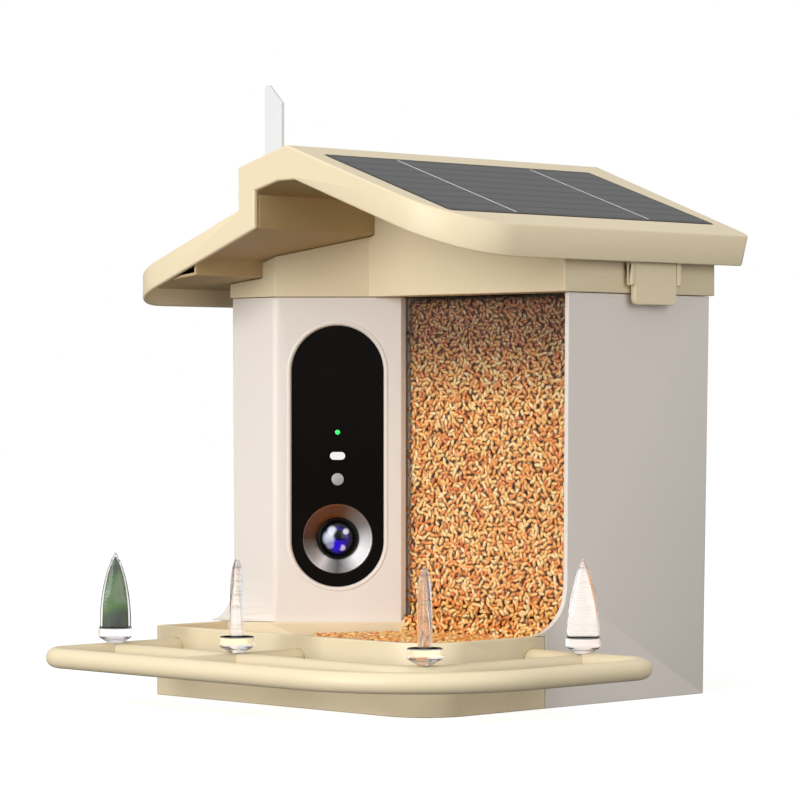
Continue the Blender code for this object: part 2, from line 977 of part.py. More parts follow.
# Perch: two rails and a cross bar joined into one frame, with its ends in the tray's sockets
socket_depth = 3.0 * MM
socket_front = -tray_front + socket_depth
perch_frame = tube(
    "perch_frame",
    rounded(
        [
            (perch_left, socket_front - clearance, 0),
            (perch_left, -perch_front, perch_corner),
            (perch_side, -perch_front, perch_sweep),
            (perch_side, -perch_end, perch_corner),
            (tray_right - socket_depth + clearance, -perch_end, 0),
        ],
        rail_chord,
    ),
    outer_rail_radius,
    perch_height,
)
inner_rail = tube(
    "inner_rail",
    rounded(
        [
            (perch_left, -inner_rail_front, 0),
            (inner_rail_side, -inner_rail_front, inner_rail_corner),
            (inner_rail_side, -perch_end, 0),
        ],
        rail_chord,
    ),
    inner_rail_radius,
    perch_height,
)
cross_bar = tube(
    "cross_bar",
    [(cross_bar_x, -perch_front), (cross_bar_x, socket_front - clearance)],
    inner_rail_radius,
    perch_height,
)
join(perch_frame, inner_rail, cross_bar)
for number, (x, radius) in enumerate(
    ((perch_left, outer_rail_radius), (cross_bar_x, inner_rail_radius)), 1
):
    socket = front_prism(
        f"tray_socket_{number}",
        circle(radius + clearance, 20, x, perch_height),
        -tray_front - overrun,
        socket_front,
    )
    cut(tray, socket)
side_socket = side_prism(
    "tray_side_socket",
    circle(outer_rail_radius + clearance, 20, -perch_end, perch_height),
    tray_right - socket_depth,
    tray_right + overrun,
)
cut(tray, side_socket)

# Four clear spikes, each turned by hand in a hole on the inner rail
spike_peg_radius = 1.5 * MM
spike_peg = 3.0 * MM
spike_stem = 4.5 * MM
spike_disc_radius = 8.15 * MM
spike_taper = 4.0 * MM
spike_disc = 5.0 * MM
spike_length = 48.0 * MM
spike_blade_half = 6.7 * MM
spike_blade_depth = 3.4 * MM
spike_edge = 0.5 * MM
blade_height_shares = (0.0, 0.3, 0.55, 0.75, 0.9, 1.0)
blade_width_shares = (1.0, 0.97, 0.82, 0.56, 0.28, 0.05)
rail_top = perch_height + inner_rail_radius
corner_turn = radians(37)
corner_spike_x = inner_rail_side - inner_rail_corner * (1 - cos(corner_turn))
corner_spike_y = -inner_rail_front + inner_rail_corner * (1 - sin(corner_turn))
spike_places = (
    (perch_left, -inner_rail_front, 45),
    (cross_bar_x, -inner_rail_front, 135),
    (corner_spike_x, corner_spike_y, 135),
    (inner_rail_side, -perch_end, 45),
)


def ellipse(half_width, half_depth, steps=16):
    turns = [2 * pi * step / steps for step in range(steps)]
    return [Vector((half_width * cos(turn), half_depth * sin(turn))) for turn in turns]


def spike(name, x, y, turn):
    disc_foot = spike_stem + spike_taper
    disc_head = disc_foot + spike_disc
    blade = spike_length - disc_head - spike_edge
    round_sections = (
        (spike_peg_radius, -spike_peg),
        (spike_peg_radius, spike_stem),
        (spike_disc_radius - spike_edge, disc_foot),
        (spike_disc_radius, disc_foot + spike_edge),
        (spike_disc_radius, disc_head - spike_edge),
        (spike_disc_radius - spike_edge, disc_head),
    )
    sections = [(ellipse(radius, radius), height) for radius, height in round_sections]
    for height_share, width_share in zip(blade_height_shares, blade_width_shares):
        outline = ellipse(spike_blade_half * width_share, spike_blade_depth * width_share)
        sections.append((outline, disc_head + spike_edge + blade * height_share))
    made = loft(name, sections)
    made.data.transform(Matrix.Rotation(radians(turn), 4, "Z"))
    made.location = (x, y, rail_top)
    return finish(made, (0.92, 0.94, 0.95), 0.04, alpha=0.3)


for number, (x, y, turn) in enumerate(spike_places, 1):
    spike(f"spike_{number}", x, y, turn)
    hole = prism(
        f"spike_hole_{number}",
        circle(spike_peg_radius + clearance, 12, x, y),
        rail_top - spike_peg - clearance,
        rail_top + overrun,
    )
    cut(perch_frame, hole)
finish(perch_frame, BEIGE, 0.4)

# Camera pieces, placed on the 45 degree face: local X to the viewer's right, Y up, Z outwards
bezel_middle = bezel_foot_height + bezel_height / 2
FACE = Matrix(
    (
        (1 / sqrt(2), 0, 1 / sqrt(2), face_along + face_offset / 2),
        (1 / sqrt(2), 0, -1 / sqrt(2), face_along - face_offset / 2),
        (0, 1, 0, 0),
        (0, 0, 0, 1),
    )
)
LENS = FACE @ Matrix.Translation((0, lens_height, 0))
bezel_back = -bezel_recess - bezel_sheet
bezel_aperture = prism(
    "bezel_aperture",
    pill(bezel_width + 2 * clearance, bezel_height + 2 * clearance, 0, bezel_middle),
    -wall - overrun,
    overrun,
    FACE,
)
cut(body_shell, bezel_aperture)
led_radius = 1.4 * MM
light_width = 7.9 * MM
light_tall = 4.1 * MM
pir_radius = 3.35 * MM
camera_bezel = prism(
    "camera_bezel",
    pill(bezel_width, bezel_height, 0, bezel_middle),
    bezel_back,
    -bezel_recess,
    FACE,
    holes=(
        circle(lens_ring_radius + clearance, 32, 0, lens_height),
        circle(led_radius + clearance, 12, 0, led_height),
        pill(light_width + 2 * clearance, light_tall + 2 * clearance, 0, light_height),
        circle(pir_radius + clearance, 16, 0, pir_height),
    ),
)
finish(camera_bezel, BLACK, 0.12)

gasket_width = 2.5 * MM
gasket_sheet = 2.0 * MM
bezel_gasket = prism(
    "bezel_gasket",
    pill(bezel_width + 2 * gasket_width, bezel_height + 2 * gasket_width, 0, bezel_middle),
    -wall - clearance - gasket_sheet,
    -wall - clearance,
    FACE,
    holes=(pill(bezel_width + 2 * clearance, bezel_height + 2 * clearance, 0, bezel_middle),),
)
finish(bezel_gasket, (0.05, 0.05, 0.05), 0.8)

ring_depth = 7.0 * MM
ring_lip = 2.0 * MM
barrel_front = -5.0 * MM
board_sheet = 1.6 * MM
sensor_board_front = -16.5 * MM
barrel_wall = lens_barrel_radius - lens_radius - clearance
lens_ring = turned(
    "lens_ring",
    [
        (lens_ring_radius, -bezel_recess),
        (lens_ring_radius, -bezel_recess - ring_depth),
        (lens_barrel_radius + clearance, -bezel_recess - ring_depth),
        (lens_barrel_radius + clearance, -bezel_recess - ring_depth + ring_lip),
    ],
    LENS,
    steps=32,
)
finish(lens_ring, (0.5, 0.5, 0.52), 0.22, metallic=1.0)
lens_barrel = turned(
    "lens_barrel",
    [
        (lens_barrel_radius, barrel_front),
        (lens_barrel_radius, sensor_board_front + clearance),
        (lens_barrel_radius - barrel_wall, sensor_board_front + clearance),
        (lens_barrel_radius - barrel_wall, barrel_front),
    ],
    LENS,
)
finish(lens_barrel, BLACK, 0.3)


def lens(name, dome, front, depth):
    """A plano-convex lens: its dome rises from the edge to the axis."""
    steps = 5
    arc = [
        (lens_radius * sin(pi / 2 * step / steps), front - dome * (1 - cos(pi / 2 * step / steps)))
        for step in range(steps + 1)
    ]
    made = turned(name, [*arc, (lens_radius, front - depth), (0, front - depth)], LENS, closed=False)
    return finish(made, (0.12, 0.08, 0.35), 0.03)


front_lens_front = -4.4 * MM
front_dome = 3.0 * MM
front_lens_depth = 5.0 * MM
rear_dome = 1.2 * MM
rear_lens_depth = 3.0 * MM
lens("lens_front", front_dome, front_lens_front, front_lens_depth)
lens("lens_rear", rear_dome, front_lens_front - front_lens_depth - clearance, rear_lens_depth)

sensor_half = 4.0 * MM
sensor_sheet = 1.2 * MM
image_sensor = prism(
    "image_sensor",
    rectangle(-sensor_half, -sensor_half, sensor_half, sensor_half),
    sensor_board_front + clearance,
    sensor_board_front + clearance + sensor_sheet,
    LENS,
)
finish(image_sensor, (0.1, 0.1, 0.14), 0.2)

housing_half = 22.0 * MM
housing_inset = 4.35 * MM
housing_tall = bezel_height - 2 * housing_inset
housing_wall = 1.6 * MM
housing_back = -30.0 * MM
housing_front = bezel_back - clearance
board_half = housing_half - housing_wall - clearance
board_foot = bezel_middle - housing_tall / 2 + housing_wall + clearance
board_head = bezel_middle + housing_tall / 2 - housing_wall - clearance
camera_housing = prism(
    "camera_housing",
    rectangle(
        -housing_half,
        bezel_middle - housing_tall / 2,
        housing_half,
        bezel_middle + housing_tall / 2,
        housing_wall,
    ),
    housing_back,
    housing_front,
    FACE,
)
housing_inside = prism(
    "housing_inside",
    rectangle(
        -housing_half + housing_wall,
        bezel_middle - housing_tall / 2 + housing_wall,
        housing_half - housing_wall,
        bezel_middle + housing_tall / 2 - housing_wall,
    ),
    housing_back + housing_wall,
    housing_front + overrun,
    FACE,
)
cut(camera_housing, housing_inside)
finish(camera_housing, (0.12, 0.12, 0.13), 0.5)

sensor_board_head = lens_height + board_half
sensor_board = prism(
    "sensor_board",
    rectangle(-board_half, board_foot, board_half, sensor_board_head),
    sensor_board_front - board_sheet,
    sensor_board_front,
    FACE,
)
finish(sensor_board, GREEN_BOARD, 0.4)
main_board_front = housing_back + housing_wall + clearance + board_sheet
main_board = prism(
    "main_board",
    rectangle(-board_half, board_foot, board_half, board_head),
    main_board_front - board_sheet,
    main_board_front,
    FACE,
)
finish(main_board, GREEN_BOARD, 0.4)

button_proud = 0.1 * MM
LED = FACE @ Matrix.Translation((0, led_height, 0))
status_led = turned(
    "status_led",
    [
        (0, -bezel_recess + button_proud),
        (led_radius, -bezel_recess - button_proud),
        (led_radius, bezel_back),
        (0, bezel_back),
    ],
    LED,
    steps=12,
    closed=False,
)
finish(status_led, (0.03, 0.7, 0.15), 0.2)
light_window = prism(
    "light_window",
    pill(light_width, light_tall, 0, light_height),
    bezel_back,
    -bezel_recess,
    FACE,
)
finish(light_window, (0.95, 0.95, 0.93), 0.2)
PIR = FACE @ Matrix.Translation((0, pir_height, 0))
pir_dome = 0.8 * MM
pir_lens = turned(
    "pir_lens",
    [
        (0, -bezel_recess + pir_dome),
        (pir_radius * sin(pi / 4), -bezel_recess + pir_dome * cos(pi / 4)),
        (pir_radius, -bezel_recess),
        (pir_radius, bezel_back),
        (0, bezel_back),
    ],
    PIR,
    steps=16,
    closed=False,
)
finish(pir_lens, (0.4, 0.4, 0.4), 0.5)
pir_can_radius = 4.0 * MM
pir_can = 4.2 * MM
pir_sensor = turned(
    "pir_sensor",
    [
        (0, bezel_back - clearance),
        (pir_can_radius, bezel_back - clearance),
        (pir_can_radius, bezel_back - clearance - pir_can),
        (0, bezel_back - clearance - pir_can),
    ],
    PIR,
    steps=16,
    closed=False,
)
finish(pir_sensor, STEEL, 0.3, metallic=1.0)

# Battery cells standing in their tray behind the service door
cell_radius = 9.2 * MM
cell_length = 65.0 * MM
cells_inset = 39.9 * MM
cells_x = cells_inset - house_half
cradle_wall = 2.0 * MM
cradle_half = 2 * cell_radius + 1.5 * clearance + cradle_wall
cradle_foot = wall + clearance
cradle_head = cradle_foot + cradle_wall + cell_length + 2 * clearance + cradle_wall
cradle_back = back_at(0) - wall - clearance
cradle_front = cradle_back - 2 * cell_radius - 2 * clearance - cradle_wall
battery_tray = prism(
    "battery_tray",
    rectangle(cells_x - cradle_half, cradle_front, cells_x + cradle_half, cradle_back),
    cradle_foot,
    cradle_head,
)
cradle_inside = prism(
    "cradle_inside",
    rectangle(
        cells_x - cradle_half + cradle_wall,
        cradle_front + cradle_wall,
        cells_x + cradle_half - cradle_wall,
        cradle_back + overrun,
    ),
    cradle_foot + cradle_wall,
    cradle_head - cradle_wall,
)
cut(battery_tray, cradle_inside)
finish(battery_tray, (0.1, 0.1, 0.11), 0.5)
for name, side in (("battery_cell_left", -1), ("battery_cell_right", 1)):
    cell = prism(
        name,
        circle(
            cell_radius,
            20,
            cells_x + side * (cell_radius + clearance / 2),
            cradle_front + cradle_wall + clearance + cell_radius,
        ),
        cradle_foot + cradle_wall + clearance,
        cradle_foot + cradle_wall + clearance + cell_length,
    )
    finish(cell, (0.05, 0.25, 0.45), 0.4)

# Pieces on the back wall, in a frame that leans with its draft: X to the left, Y up, Z outwards
lean_angle = atan2(back_draft, body_height)
BACK = Matrix(
    (
        (-1, 0, 0, 0),
        (0, sin(lean_angle), cos(lean_angle), back_at(0)),
        (0, cos(lean_angle), -sin(lean_angle), 0),
        (0, 0, 0, 1),
    )
)
door_half = 25.0 * MM
door_foot = 6.0 * MM
door_head = 84.0 * MM
door_sheet = 2.0 * MM
door_corner = 4.0 * MM
door_land = 5.0 * MM
door_x = -cells_x
service_door = prism(
    "service_door",
    rectangle(door_x - door_half, door_foot, door_x + door_half, door_head, door_corner),
    clearance,
    clearance + door_sheet,
    BACK,
)
service_cut = prism(
    "service_cut",
    rectangle(
        door_x - door_half + door_land,
        door_foot + door_land,
        door_x + door_half - door_land,
        door_head - 2 * door_land,
        door_corner,
    ),
    -wall - overrun,
    overrun,
    BACK,
)
cut(body_shell, service_cut)

screw_radius = 1.4 * MM
screw_head_radius = 2.8 * MM
screw_head = 1.6 * MM
screw_shank = 7.0 * MM


def screw(name, place):
    """A pan-head screw whose head stands on the place's XY plane."""
    made = turned(
        name,
        [
            (0, clearance + screw_head),
            (screw_head_radius * cos(pi / 4), clearance + screw_head),
            (screw_head_radius, clearance + screw_head / 2),
            (screw_head_radius, clearance),
            (screw_radius, clearance),
            (screw_radius, clearance - screw_shank),
            (0, clearance - screw_shank),
        ],
        place,
        steps=12,
        closed=False,
    )
    finish(made, STEEL, 0.3, metallic=1.0)


def screw_hole(name, place):
    return prism(name, circle(screw_radius + clearance, 12), -screw_shank - clearance, overrun, place)


door_screw_height = door_head - door_land
for number, side in enumerate((-1, 1), 1):
    spot = Matrix.Translation(
        (door_x + side * (door_half - door_land), door_screw_height, clearance + door_sheet)
    )
    screw(f"door_screw_{number}", BACK @ spot)
    hole = screw_hole(f"door_screw_hole_{number}", BACK @ spot)
    cut(service_door, hole)
    cut(body_shell, hole)
finish(service_door, WHITE, 0.45)

plate_half = 32.0 * MM
plate_drop = 26.0 * MM
plate_tall = 80.0 * MM
plate_head = body_height - plate_drop
plate_foot = plate_head - plate_tall
plate_face = house_back + 3.0 * MM
slot_width = 6.0 * MM
slot_tall = 16.0 * MM
slot_x = 18.0 * MM
slot_drop = 26.0 * MM
slot_height = plate_head - slot_drop
plate_lift = clearance / cos(lean_angle)
mount_plate = side_prism(
    "mount_plate",
    [
        (back_at(plate_foot) + plate_lift, plate_foot),
        (plate_face, plate_foot),
        (plate_face, plate_head),
        (back_at(plate_head) + plate_lift, plate_head),
    ],
    -plate_half,
    plate_half,
)
for number, side in enumerate((-1, 1), 1):
    slot = front_prism(
        f"mount_slot_{number}",
        pill(slot_width, slot_tall, side * slot_x, slot_height),
        back_at(plate_foot),
        plate_face + overrun,
    )
    cut(mount_plate, slot)
plate_screw_heights = (plate_foot + 3 * door_land, plate_head - door_land)
TO_BACK = Matrix(((-1, 0, 0, 0), (0, 0, 1, 0), (0, 1, 0, 0), (0, 0, 0, 1)))
counterbore = screw_head + 2 * clearance
for number, height in enumerate(plate_screw_heights, 1):
    spot = Matrix.Translation((0, plate_face - counterbore, height)) @ TO_BACK
    screw(f"plate_screw_{number}", spot)
    hole = screw_hole(f"plate_screw_hole_{number}", spot)
    recess = prism(
        f"plate_counterbore_{number}",
        circle(screw_head_radius + clearance, 16),
        0,
        overrun,
        spot,
    )
    cut(mount_plate, hole, recess)
    cut(body_shell, hole)
finish(mount_plate, WHITE, 0.45)

button_radius = 5.0 * MM
button_height = 60.0 * MM
button_x = -14.0 * MM
button_out = 1.8 * MM
button_in = 3.0 * MM
BUTTON = BACK @ Matrix.Translation((-button_x, button_height, 0))
power_button = prism("power_button", circle(button_radius, 24), -button_in, button_out, BUTTON)
button_hole = prism(
    "button_hole", circle(button_radius + clearance, 24), -wall - overrun, overrun, BUTTON
)
cut(body_shell, button_hole)
turns_about(power_button, BUTTON.translation)
finish(power_button, (0.2, 0.2, 0.2), 0.4)

socket_height = 36.0 * MM
socket_width = 9.0 * MM
socket_tall = 3.4 * MM
socket_deep = 8.0 * MM
flap_width = 16.0 * MM
flap_tall = 10.0 * MM
flap_sheet = 2.0 * MM
USB = BACK @ Matrix.Translation((-button_x, socket_height, 0))
usb_socket = prism("usb_socket", pill(socket_width, socket_tall), -socket_deep, -clearance, USB)
usb_hole = prism(
    "usb_hole",
    pill(socket_width + 2 * clearance, socket_tall + 2 * clearance),
    -wall - overrun,
    overrun,
    USB,
)
cut(body_shell, usb_hole)
finish(usb_socket, STEEL, 0.3, metallic=1.0)
usb_flap = prism(
    "usb_flap", pill(flap_width, flap_tall), clearance, clearance + flap_sheet, USB
)
flap_pivot = USB @ Vector((0, -flap_tall / 2, clearance + flap_sheet / 2))
turns_about(usb_flap, flap_pivot)
finish(usb_flap, (0.15, 0.15, 0.15), 0.7)

# Speaker behind sound holes in the left wall
speaker_radius = 14.0 * MM
speaker_depth = 6.0 * MM
speaker_y = -20.0 * MM
speaker_height = 120.0 * MM
sound_radius = 1.3 * MM
sound_ring = 7.0 * MM
sound_holes = 6
speaker_left = -side_at(speaker_height) + wall + 2 * clearance
speaker = side_prism(
    "speaker",
    circle(speaker_radius, 24, speaker_y, speaker_height),
    speaker_left,
    speaker_left + speaker_depth,
)
finish(speaker, BLACK, 0.6)
for number in range(sound_holes):
    turn = 2 * pi * number / sound_holes
    sound = side_prism(
        f"sound_hole_{number}",
        circle(
            sound_radius,
            8,
            speaker_y + sound_ring * cos(turn),
            speaker_height + sound_ring * sin(turn),
        ),
        -house_half - overrun,
        speaker_left - clearance / 2,
    )
    cut(body_shell, sound)

# Screws through the tray's back wall into the sill
tray_screw_drop = 14.0 * MM
tray_screw_reach = 30.0 * MM
tray_screw_height = sill_height - tray_screw_drop
sill_middle = (window_left + window_right) / 2
FORWARD = Matrix(((1, 0, 0, 0), (0, 0, -1, 0), (0, 1, 0, 0), (0, 0, 0, 1)))
for number, x in enumerate((sill_middle - tray_screw_reach, sill_middle + tray_screw_reach), 1):
    spot = Matrix.Translation((x, -window_front - clearance - tray_rim, tray_screw_height)) @ FORWARD
    screw(f"tray_screw_{number}", spot)
    hole = screw_hole(f"tray_screw_hole_{number}", spot)
    cut(tray, hole)
    cut(body_shell, hole)
finish(tray, BEIGE, 0.45)
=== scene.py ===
# %% [markdown]
# # A smart bird feeder
# The feeder is a small plastic house: a clear hopper of wheat, a camera in a slanted column, a
# solar roof that lifts to pour seeds in, and a looped perch with clear spikes around a tray.
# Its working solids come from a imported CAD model. This script gives every piece its finish, and
# models again, finely, the pieces whose edges, glass or grains carry the look.

import json
import math
import random

import bmesh
import bpy
import numpy as np
from mathutils import Matrix, Vector


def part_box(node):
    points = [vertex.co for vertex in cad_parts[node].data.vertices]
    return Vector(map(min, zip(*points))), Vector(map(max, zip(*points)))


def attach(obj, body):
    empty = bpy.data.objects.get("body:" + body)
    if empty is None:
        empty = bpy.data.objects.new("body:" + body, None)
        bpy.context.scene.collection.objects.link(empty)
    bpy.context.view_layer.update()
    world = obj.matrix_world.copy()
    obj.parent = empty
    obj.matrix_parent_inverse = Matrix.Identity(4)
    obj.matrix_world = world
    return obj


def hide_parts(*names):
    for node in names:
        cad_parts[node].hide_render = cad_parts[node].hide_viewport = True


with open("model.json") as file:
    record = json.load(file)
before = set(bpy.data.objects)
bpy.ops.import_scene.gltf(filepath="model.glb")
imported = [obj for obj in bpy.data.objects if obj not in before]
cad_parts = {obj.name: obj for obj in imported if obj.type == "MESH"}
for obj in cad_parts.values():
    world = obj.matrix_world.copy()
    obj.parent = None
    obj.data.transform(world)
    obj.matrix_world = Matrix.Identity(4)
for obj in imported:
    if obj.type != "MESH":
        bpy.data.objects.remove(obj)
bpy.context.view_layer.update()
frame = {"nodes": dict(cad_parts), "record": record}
MM = 0.001

# %% [markdown]
# The record says on which body each node rides and which material slot it has. Two small
# dictionaries hold both, so that a new piece can take them from the node that it stands for.

# %% Look up each node's body and slot
record = frame["record"]
body_of_node = {
    node: body for body, nodes in record["behaviour"]["bodies"].items() for node in nodes
}
slot_of_node = {part["node"]: part["material_slot"] for part in record["subparts"]}

# %% [markdown]
# ## Shader maths in plain Python
# A material is a web of nodes, and a web with much arithmetic is hard to read. `Value` wraps one
# output and overloads the operators, so that `1 - mask * 0.5` adds the Math nodes by itself.
# `Recipe` is the material under construction: its method `node` makes any node from a type, its
# settings and what goes into its sockets.

# %% Values and recipes


class Value:
    """A node's output that takes part in sums like a number."""

    def __init__(self, recipe, socket):
        self.recipe = recipe
        self.socket = socket

    def __add__(self, other):
        return self.recipe.maths("ADD", self, other)

    def __sub__(self, other):
        return self.recipe.maths("SUBTRACT", self, other)

    def __rsub__(self, other):
        return self.recipe.maths("SUBTRACT", other, self)

    def __mul__(self, other):
        return self.recipe.maths("MULTIPLY", self, other)

    def __truediv__(self, other):
        return self.recipe.maths("DIVIDE", self, other)

    def __lt__(self, other):
        return self.recipe.maths("LESS_THAN", self, other)

    def __gt__(self, other):
        return self.recipe.maths("GREATER_THAN", self, other)

    def __abs__(self):
        return self.recipe.maths("ABSOLUTE", self)

    __radd__ = __add__
    __rmul__ = __mul__


class Recipe:
    """A material, or a world, that is put together node by node."""

    def __init__(self, name, owners=bpy.data.materials):
        self.owner = owners.new(name)
        self.owner.use_nodes = True
        self.tree = self.owner.node_tree
        self.tree.nodes.clear()

    def node(self, kind, settings=None, sockets=None, output=0):
        made = self.tree.nodes.new(kind)
        for setting, value in (settings or {}).items():
            if setting == "stops":
                self.set_stops(made.color_ramp, value)
            else:
                setattr(made, setting, value)
        for key, value in (sockets or {}).items():
            self.feed(made.inputs[key], value)
        return Value(self, made.outputs[output])

    def set_stops(self, ramp, stops):
        while len(ramp.elements) < len(stops):
            ramp.elements.new(1.0)
        for element, (position, colour) in zip(ramp.elements, stops):
            element.position = position
            element.color = (*colour, 1)

    def feed(self, socket, value):
        if isinstance(value, Value):
            self.tree.links.new(value.socket, socket)
        elif socket.type == "RGBA":
            socket.default_value = (*value[:3], 1)
        else:
            socket.default_value = value

    def maths(self, operation, *values):
        return self.node("ShaderNodeMath", {"operation": operation}, dict(enumerate(values)))

    def blend(self, mask, low, high, way="MIX"):
        settings = {"data_type": "RGBA", "blend_type": way}
        return self.node("ShaderNodeMix", settings, {0: mask, 6: low, 7: high}, 2)

    def ramp(self, stops, value):
        return self.node("ShaderNodeValToRGB", {"stops": stops}, {"Fac": value})

    def stored(self, name):
        """A number that is stored on the mesh's points."""
        return self.node("ShaderNodeAttribute", {"attribute_name": name}, output="Fac")

    def limited(self, value):
        """The value, held between 0 and 1."""
        return self.maths("MAXIMUM", self.maths("MINIMUM", value, 1.0), 0.0)

    def length(self, x, y):
        return self.maths("SQRT", x * x + y * y)

    def coordinates(self, place=None):
        """Object coordinates, or the same as seen from a place on the object."""
        where = self.node("ShaderNodeTexCoord", output="Object")
        if place is None:
            return where
        turned_back = {"Vector": where, "Location": place.translation, "Rotation": place.to_euler()}
        return self.node("ShaderNodeMapping", {"vector_type": "TEXTURE"}, turned_back)

    def split(self, vector):
        made = self.node("ShaderNodeSeparateXYZ", sockets={"Vector": vector}).socket.node
        return [Value(self, output) for output in made.outputs]

    def noise(self, scale, detail=2.0, place=None):
        sockets = {"Vector": self.coordinates(place), "Scale": scale, "Detail": detail}
        return self.node("ShaderNodeTexNoise", sockets=sockets)

    def bump(self, height, distance):
        return self.node("ShaderNodeBump", sockets={"Height": height, "Distance": distance})

    def finish(self, kind, shader):
        end = self.tree.nodes.new(kind)
        self.feed(end.inputs["Surface"], shader)

    def surface(self, sockets):
        shader = self.node("ShaderNodeBsdfPrincipled", sockets=sockets)
        self.finish("ShaderNodeOutputMaterial", shader)
        return self.owner


def tone(red, green, blue):
    """A colour as a screen shows it, 0 to 255, as the linear values that shaders use."""
    shares = (red / 255, green / 255, blue / 255)
    return tuple(((share + 0.055) / 1.055) ** 2.4 if share > 0.04 else share / 12.92 for share in shares)


def scaled(colour, factor):
    return tuple(min(part * factor, 1.0) for part in colour)


print("shader tools ready")

# %% [markdown]
# ## Moulded plastic
# The walls, the roof and the tray are injection moulded. The mould's eroded steel leaves a very
# fine pebble and a satin gloss. A flat colour with one roughness would look like paper, so three
# scales do the work: a broad cloud shifts the colour a little, a finer one breaks up the gloss,
# and the pebble is a bump.

# %% Moulded plastic
drift = 0.035


def moulded(name, colour, roughness, pebble_depth=0.012 * MM):
    recipe = Recipe(name)
    cloud = recipe.noise(9)
    patches = recipe.noise(120, 3)
    pebble = recipe.noise(2400, 1)
    return recipe.surface(
        {
            "Base Color": recipe.blend(cloud, scaled(colour, 1 - drift), scaled(colour, 1 + drift)),
            "Roughness": patches * 0.12 + (roughness - 0.06),
            "Specular IOR Level": 0.45,
            "Normal": recipe.bump(pebble, pebble_depth),
        }
    )


finishes = {
    "white_plastic": moulded("warm white moulding", tone(233, 224, 215), 0.42),
    "beige_plastic": moulded("beige moulding", tone(236, 219, 183), 0.44),
    "dark_plastic": moulded("dark moulding", tone(52, 52, 55), 0.5),
    "grey_lens": moulded("grey sensor lens", tone(168, 168, 166), 0.35),
    "rubber": moulded("soft black rubber", tone(46, 46, 47), 0.75, pebble_depth=0.03 * MM),
}
print("moulded:", ", ".join(finishes))

# %% [markdown]
# ## Gloss black
# The camera's panel is polished, so what matters is the reflection. A faint film of dust keeps it
# from looking computed. One noise drives the whole finish, and `speckled` does the same for the
# steel and the clear plastics below.

# %% Gloss black


def speckled(name, colours, pattern, least_roughness, spread, even, bump_depth=0.0):
    """A finish between two colours. The pattern is the noise's scale and detail."""
    recipe = Recipe(name)
    speckle = recipe.noise(*pattern)
    uneven = {
        "Base Color": recipe.blend(speckle, *colours),
        "Roughness": speckle * spread + least_roughness,
    }
    if bump_depth:
        uneven["Normal"] = recipe.bump(speckle, bump_depth)
    return recipe.surface({**even, **uneven})


black = tone(12, 9, 7)
dusty = (black, scaled(black, 1.25))
panel_gloss = {"Specular IOR Level": 0.12, "Coat Weight": 0.04, "Coat Roughness": 0.03}
finishes["black_gloss"] = speckled("gloss black panel", dusty, (260, 4), 0.08, 0.05, panel_gloss)
print("gloss black ready")

# %% [markdown]
# ## Where the camera's face is
# The camera looks out of a wall at 45 degrees. With a matrix whose origin is on that wall, X across
# it, Y up and Z outwards, every camera piece can be modelled as if it lay flat on a bench. The
# panel's box gives its middle, and the panel lies a little behind the wall.

# %% The camera's face and the lens axis
bezel_low, bezel_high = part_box("camera_bezel")
bezel_recess = 1.8 * MM
bezel_sheet = 3.0 * MM
bezel_width = 47.8 * MM
bezel_height = bezel_high.z - bezel_low.z
outwards = Vector((1, -1, 0)).normalized()
across = Vector((1, 1, 0)).normalized()
face_turn = Matrix((across, Vector((0, 0, 1)), outwards)).transposed().to_4x4()
bezel_middle = (bezel_low + bezel_high) / 2
face_point = bezel_middle + outwards * (bezel_recess + bezel_sheet / 2)
FACE = Matrix.Translation(face_point) @ face_turn


def rise_of(node):
    """How far a node's middle lies above the panel's middle."""
    low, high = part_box(node)
    return (low.z + high.z) / 2 - bezel_middle.z


def on_face(node):
    """The camera's face, moved to a node's height."""
    return FACE @ Matrix.Translation((0, rise_of(node), 0))


LENS = on_face("lens_ring")
print("lens axis at", [round(part / MM, 1) for part in LENS.translation])

# %% [markdown]
# ## Metals
# The lens sits in a cone of turned metal. A lathe leaves fine rings round the axis, so the bump is
# a wave of the distance from that axis. Such rings spread every reflection into a fan, and here
# that fan is painted reflection: the colour follows the angle round the axis, pale on the right and
# warm brown at the upper left. The screws and pins are plain zinc plated steel.

# %% Metals


def turned_metal_with_painted_fan(name, roughness, place, pitch):
    recipe = Recipe(name)
    x, y, _ = recipe.split(recipe.coordinates(place))
    rings = recipe.maths("SINE", recipe.length(x, y) * (2 * math.pi / pitch))
    uneven = recipe.noise(300, 3, place)
    reflection_fan_angle = recipe.maths("ARCTAN2", y, x) / (2 * math.pi) + 0.5 + uneven * 0.02
    # Painted reflection: the base colour follows the angle round the axis, brown at the upper left, pale
    # on the right.
    stops = [
        (0.0, tone(78, 50, 36)),
        (0.06, tone(120, 116, 114)),
        (0.12, tone(178, 177, 178)),
        (0.17, tone(232, 232, 234)),
        (0.22, tone(150, 149, 150)),
        (0.26, tone(104, 102, 103)),
        (0.31, tone(168, 168, 170)),
        (0.37, tone(246, 246, 248)),
        (0.45, tone(244, 244, 246)),
        (0.52, tone(206, 206, 209)),
        (0.59, tone(134, 131, 130)),
        (0.66, tone(124, 112, 102)),
        (0.73, tone(112, 74, 46)),
        (0.85, tone(118, 66, 28)),
        (0.95, tone(98, 54, 26)),
        (1.0, tone(78, 50, 36)),
    ]
    return recipe.surface(
        {
            "Base Color": recipe.ramp(stops, reflection_fan_angle),
            "Metallic": 0.15,
            "Roughness": uneven * 0.1 + roughness,
            "Normal": recipe.bump(rings, 0.004 * MM),
        }
    )


fine_grain = 0.01 * MM
steel = tone(190, 192, 194)
bloomed = (scaled(steel, 0.85), steel)
finishes["ring_metal"] = turned_metal_with_painted_fan("turned metal cone with painted reflection", 0.3, LENS, 0.35 * MM)
finishes["steel"] = speckled(
    "zinc plated steel", bloomed, (500, 4), 0.25, 0.2, {"Metallic": 1.0}, fine_grain
)
print("metals ready")

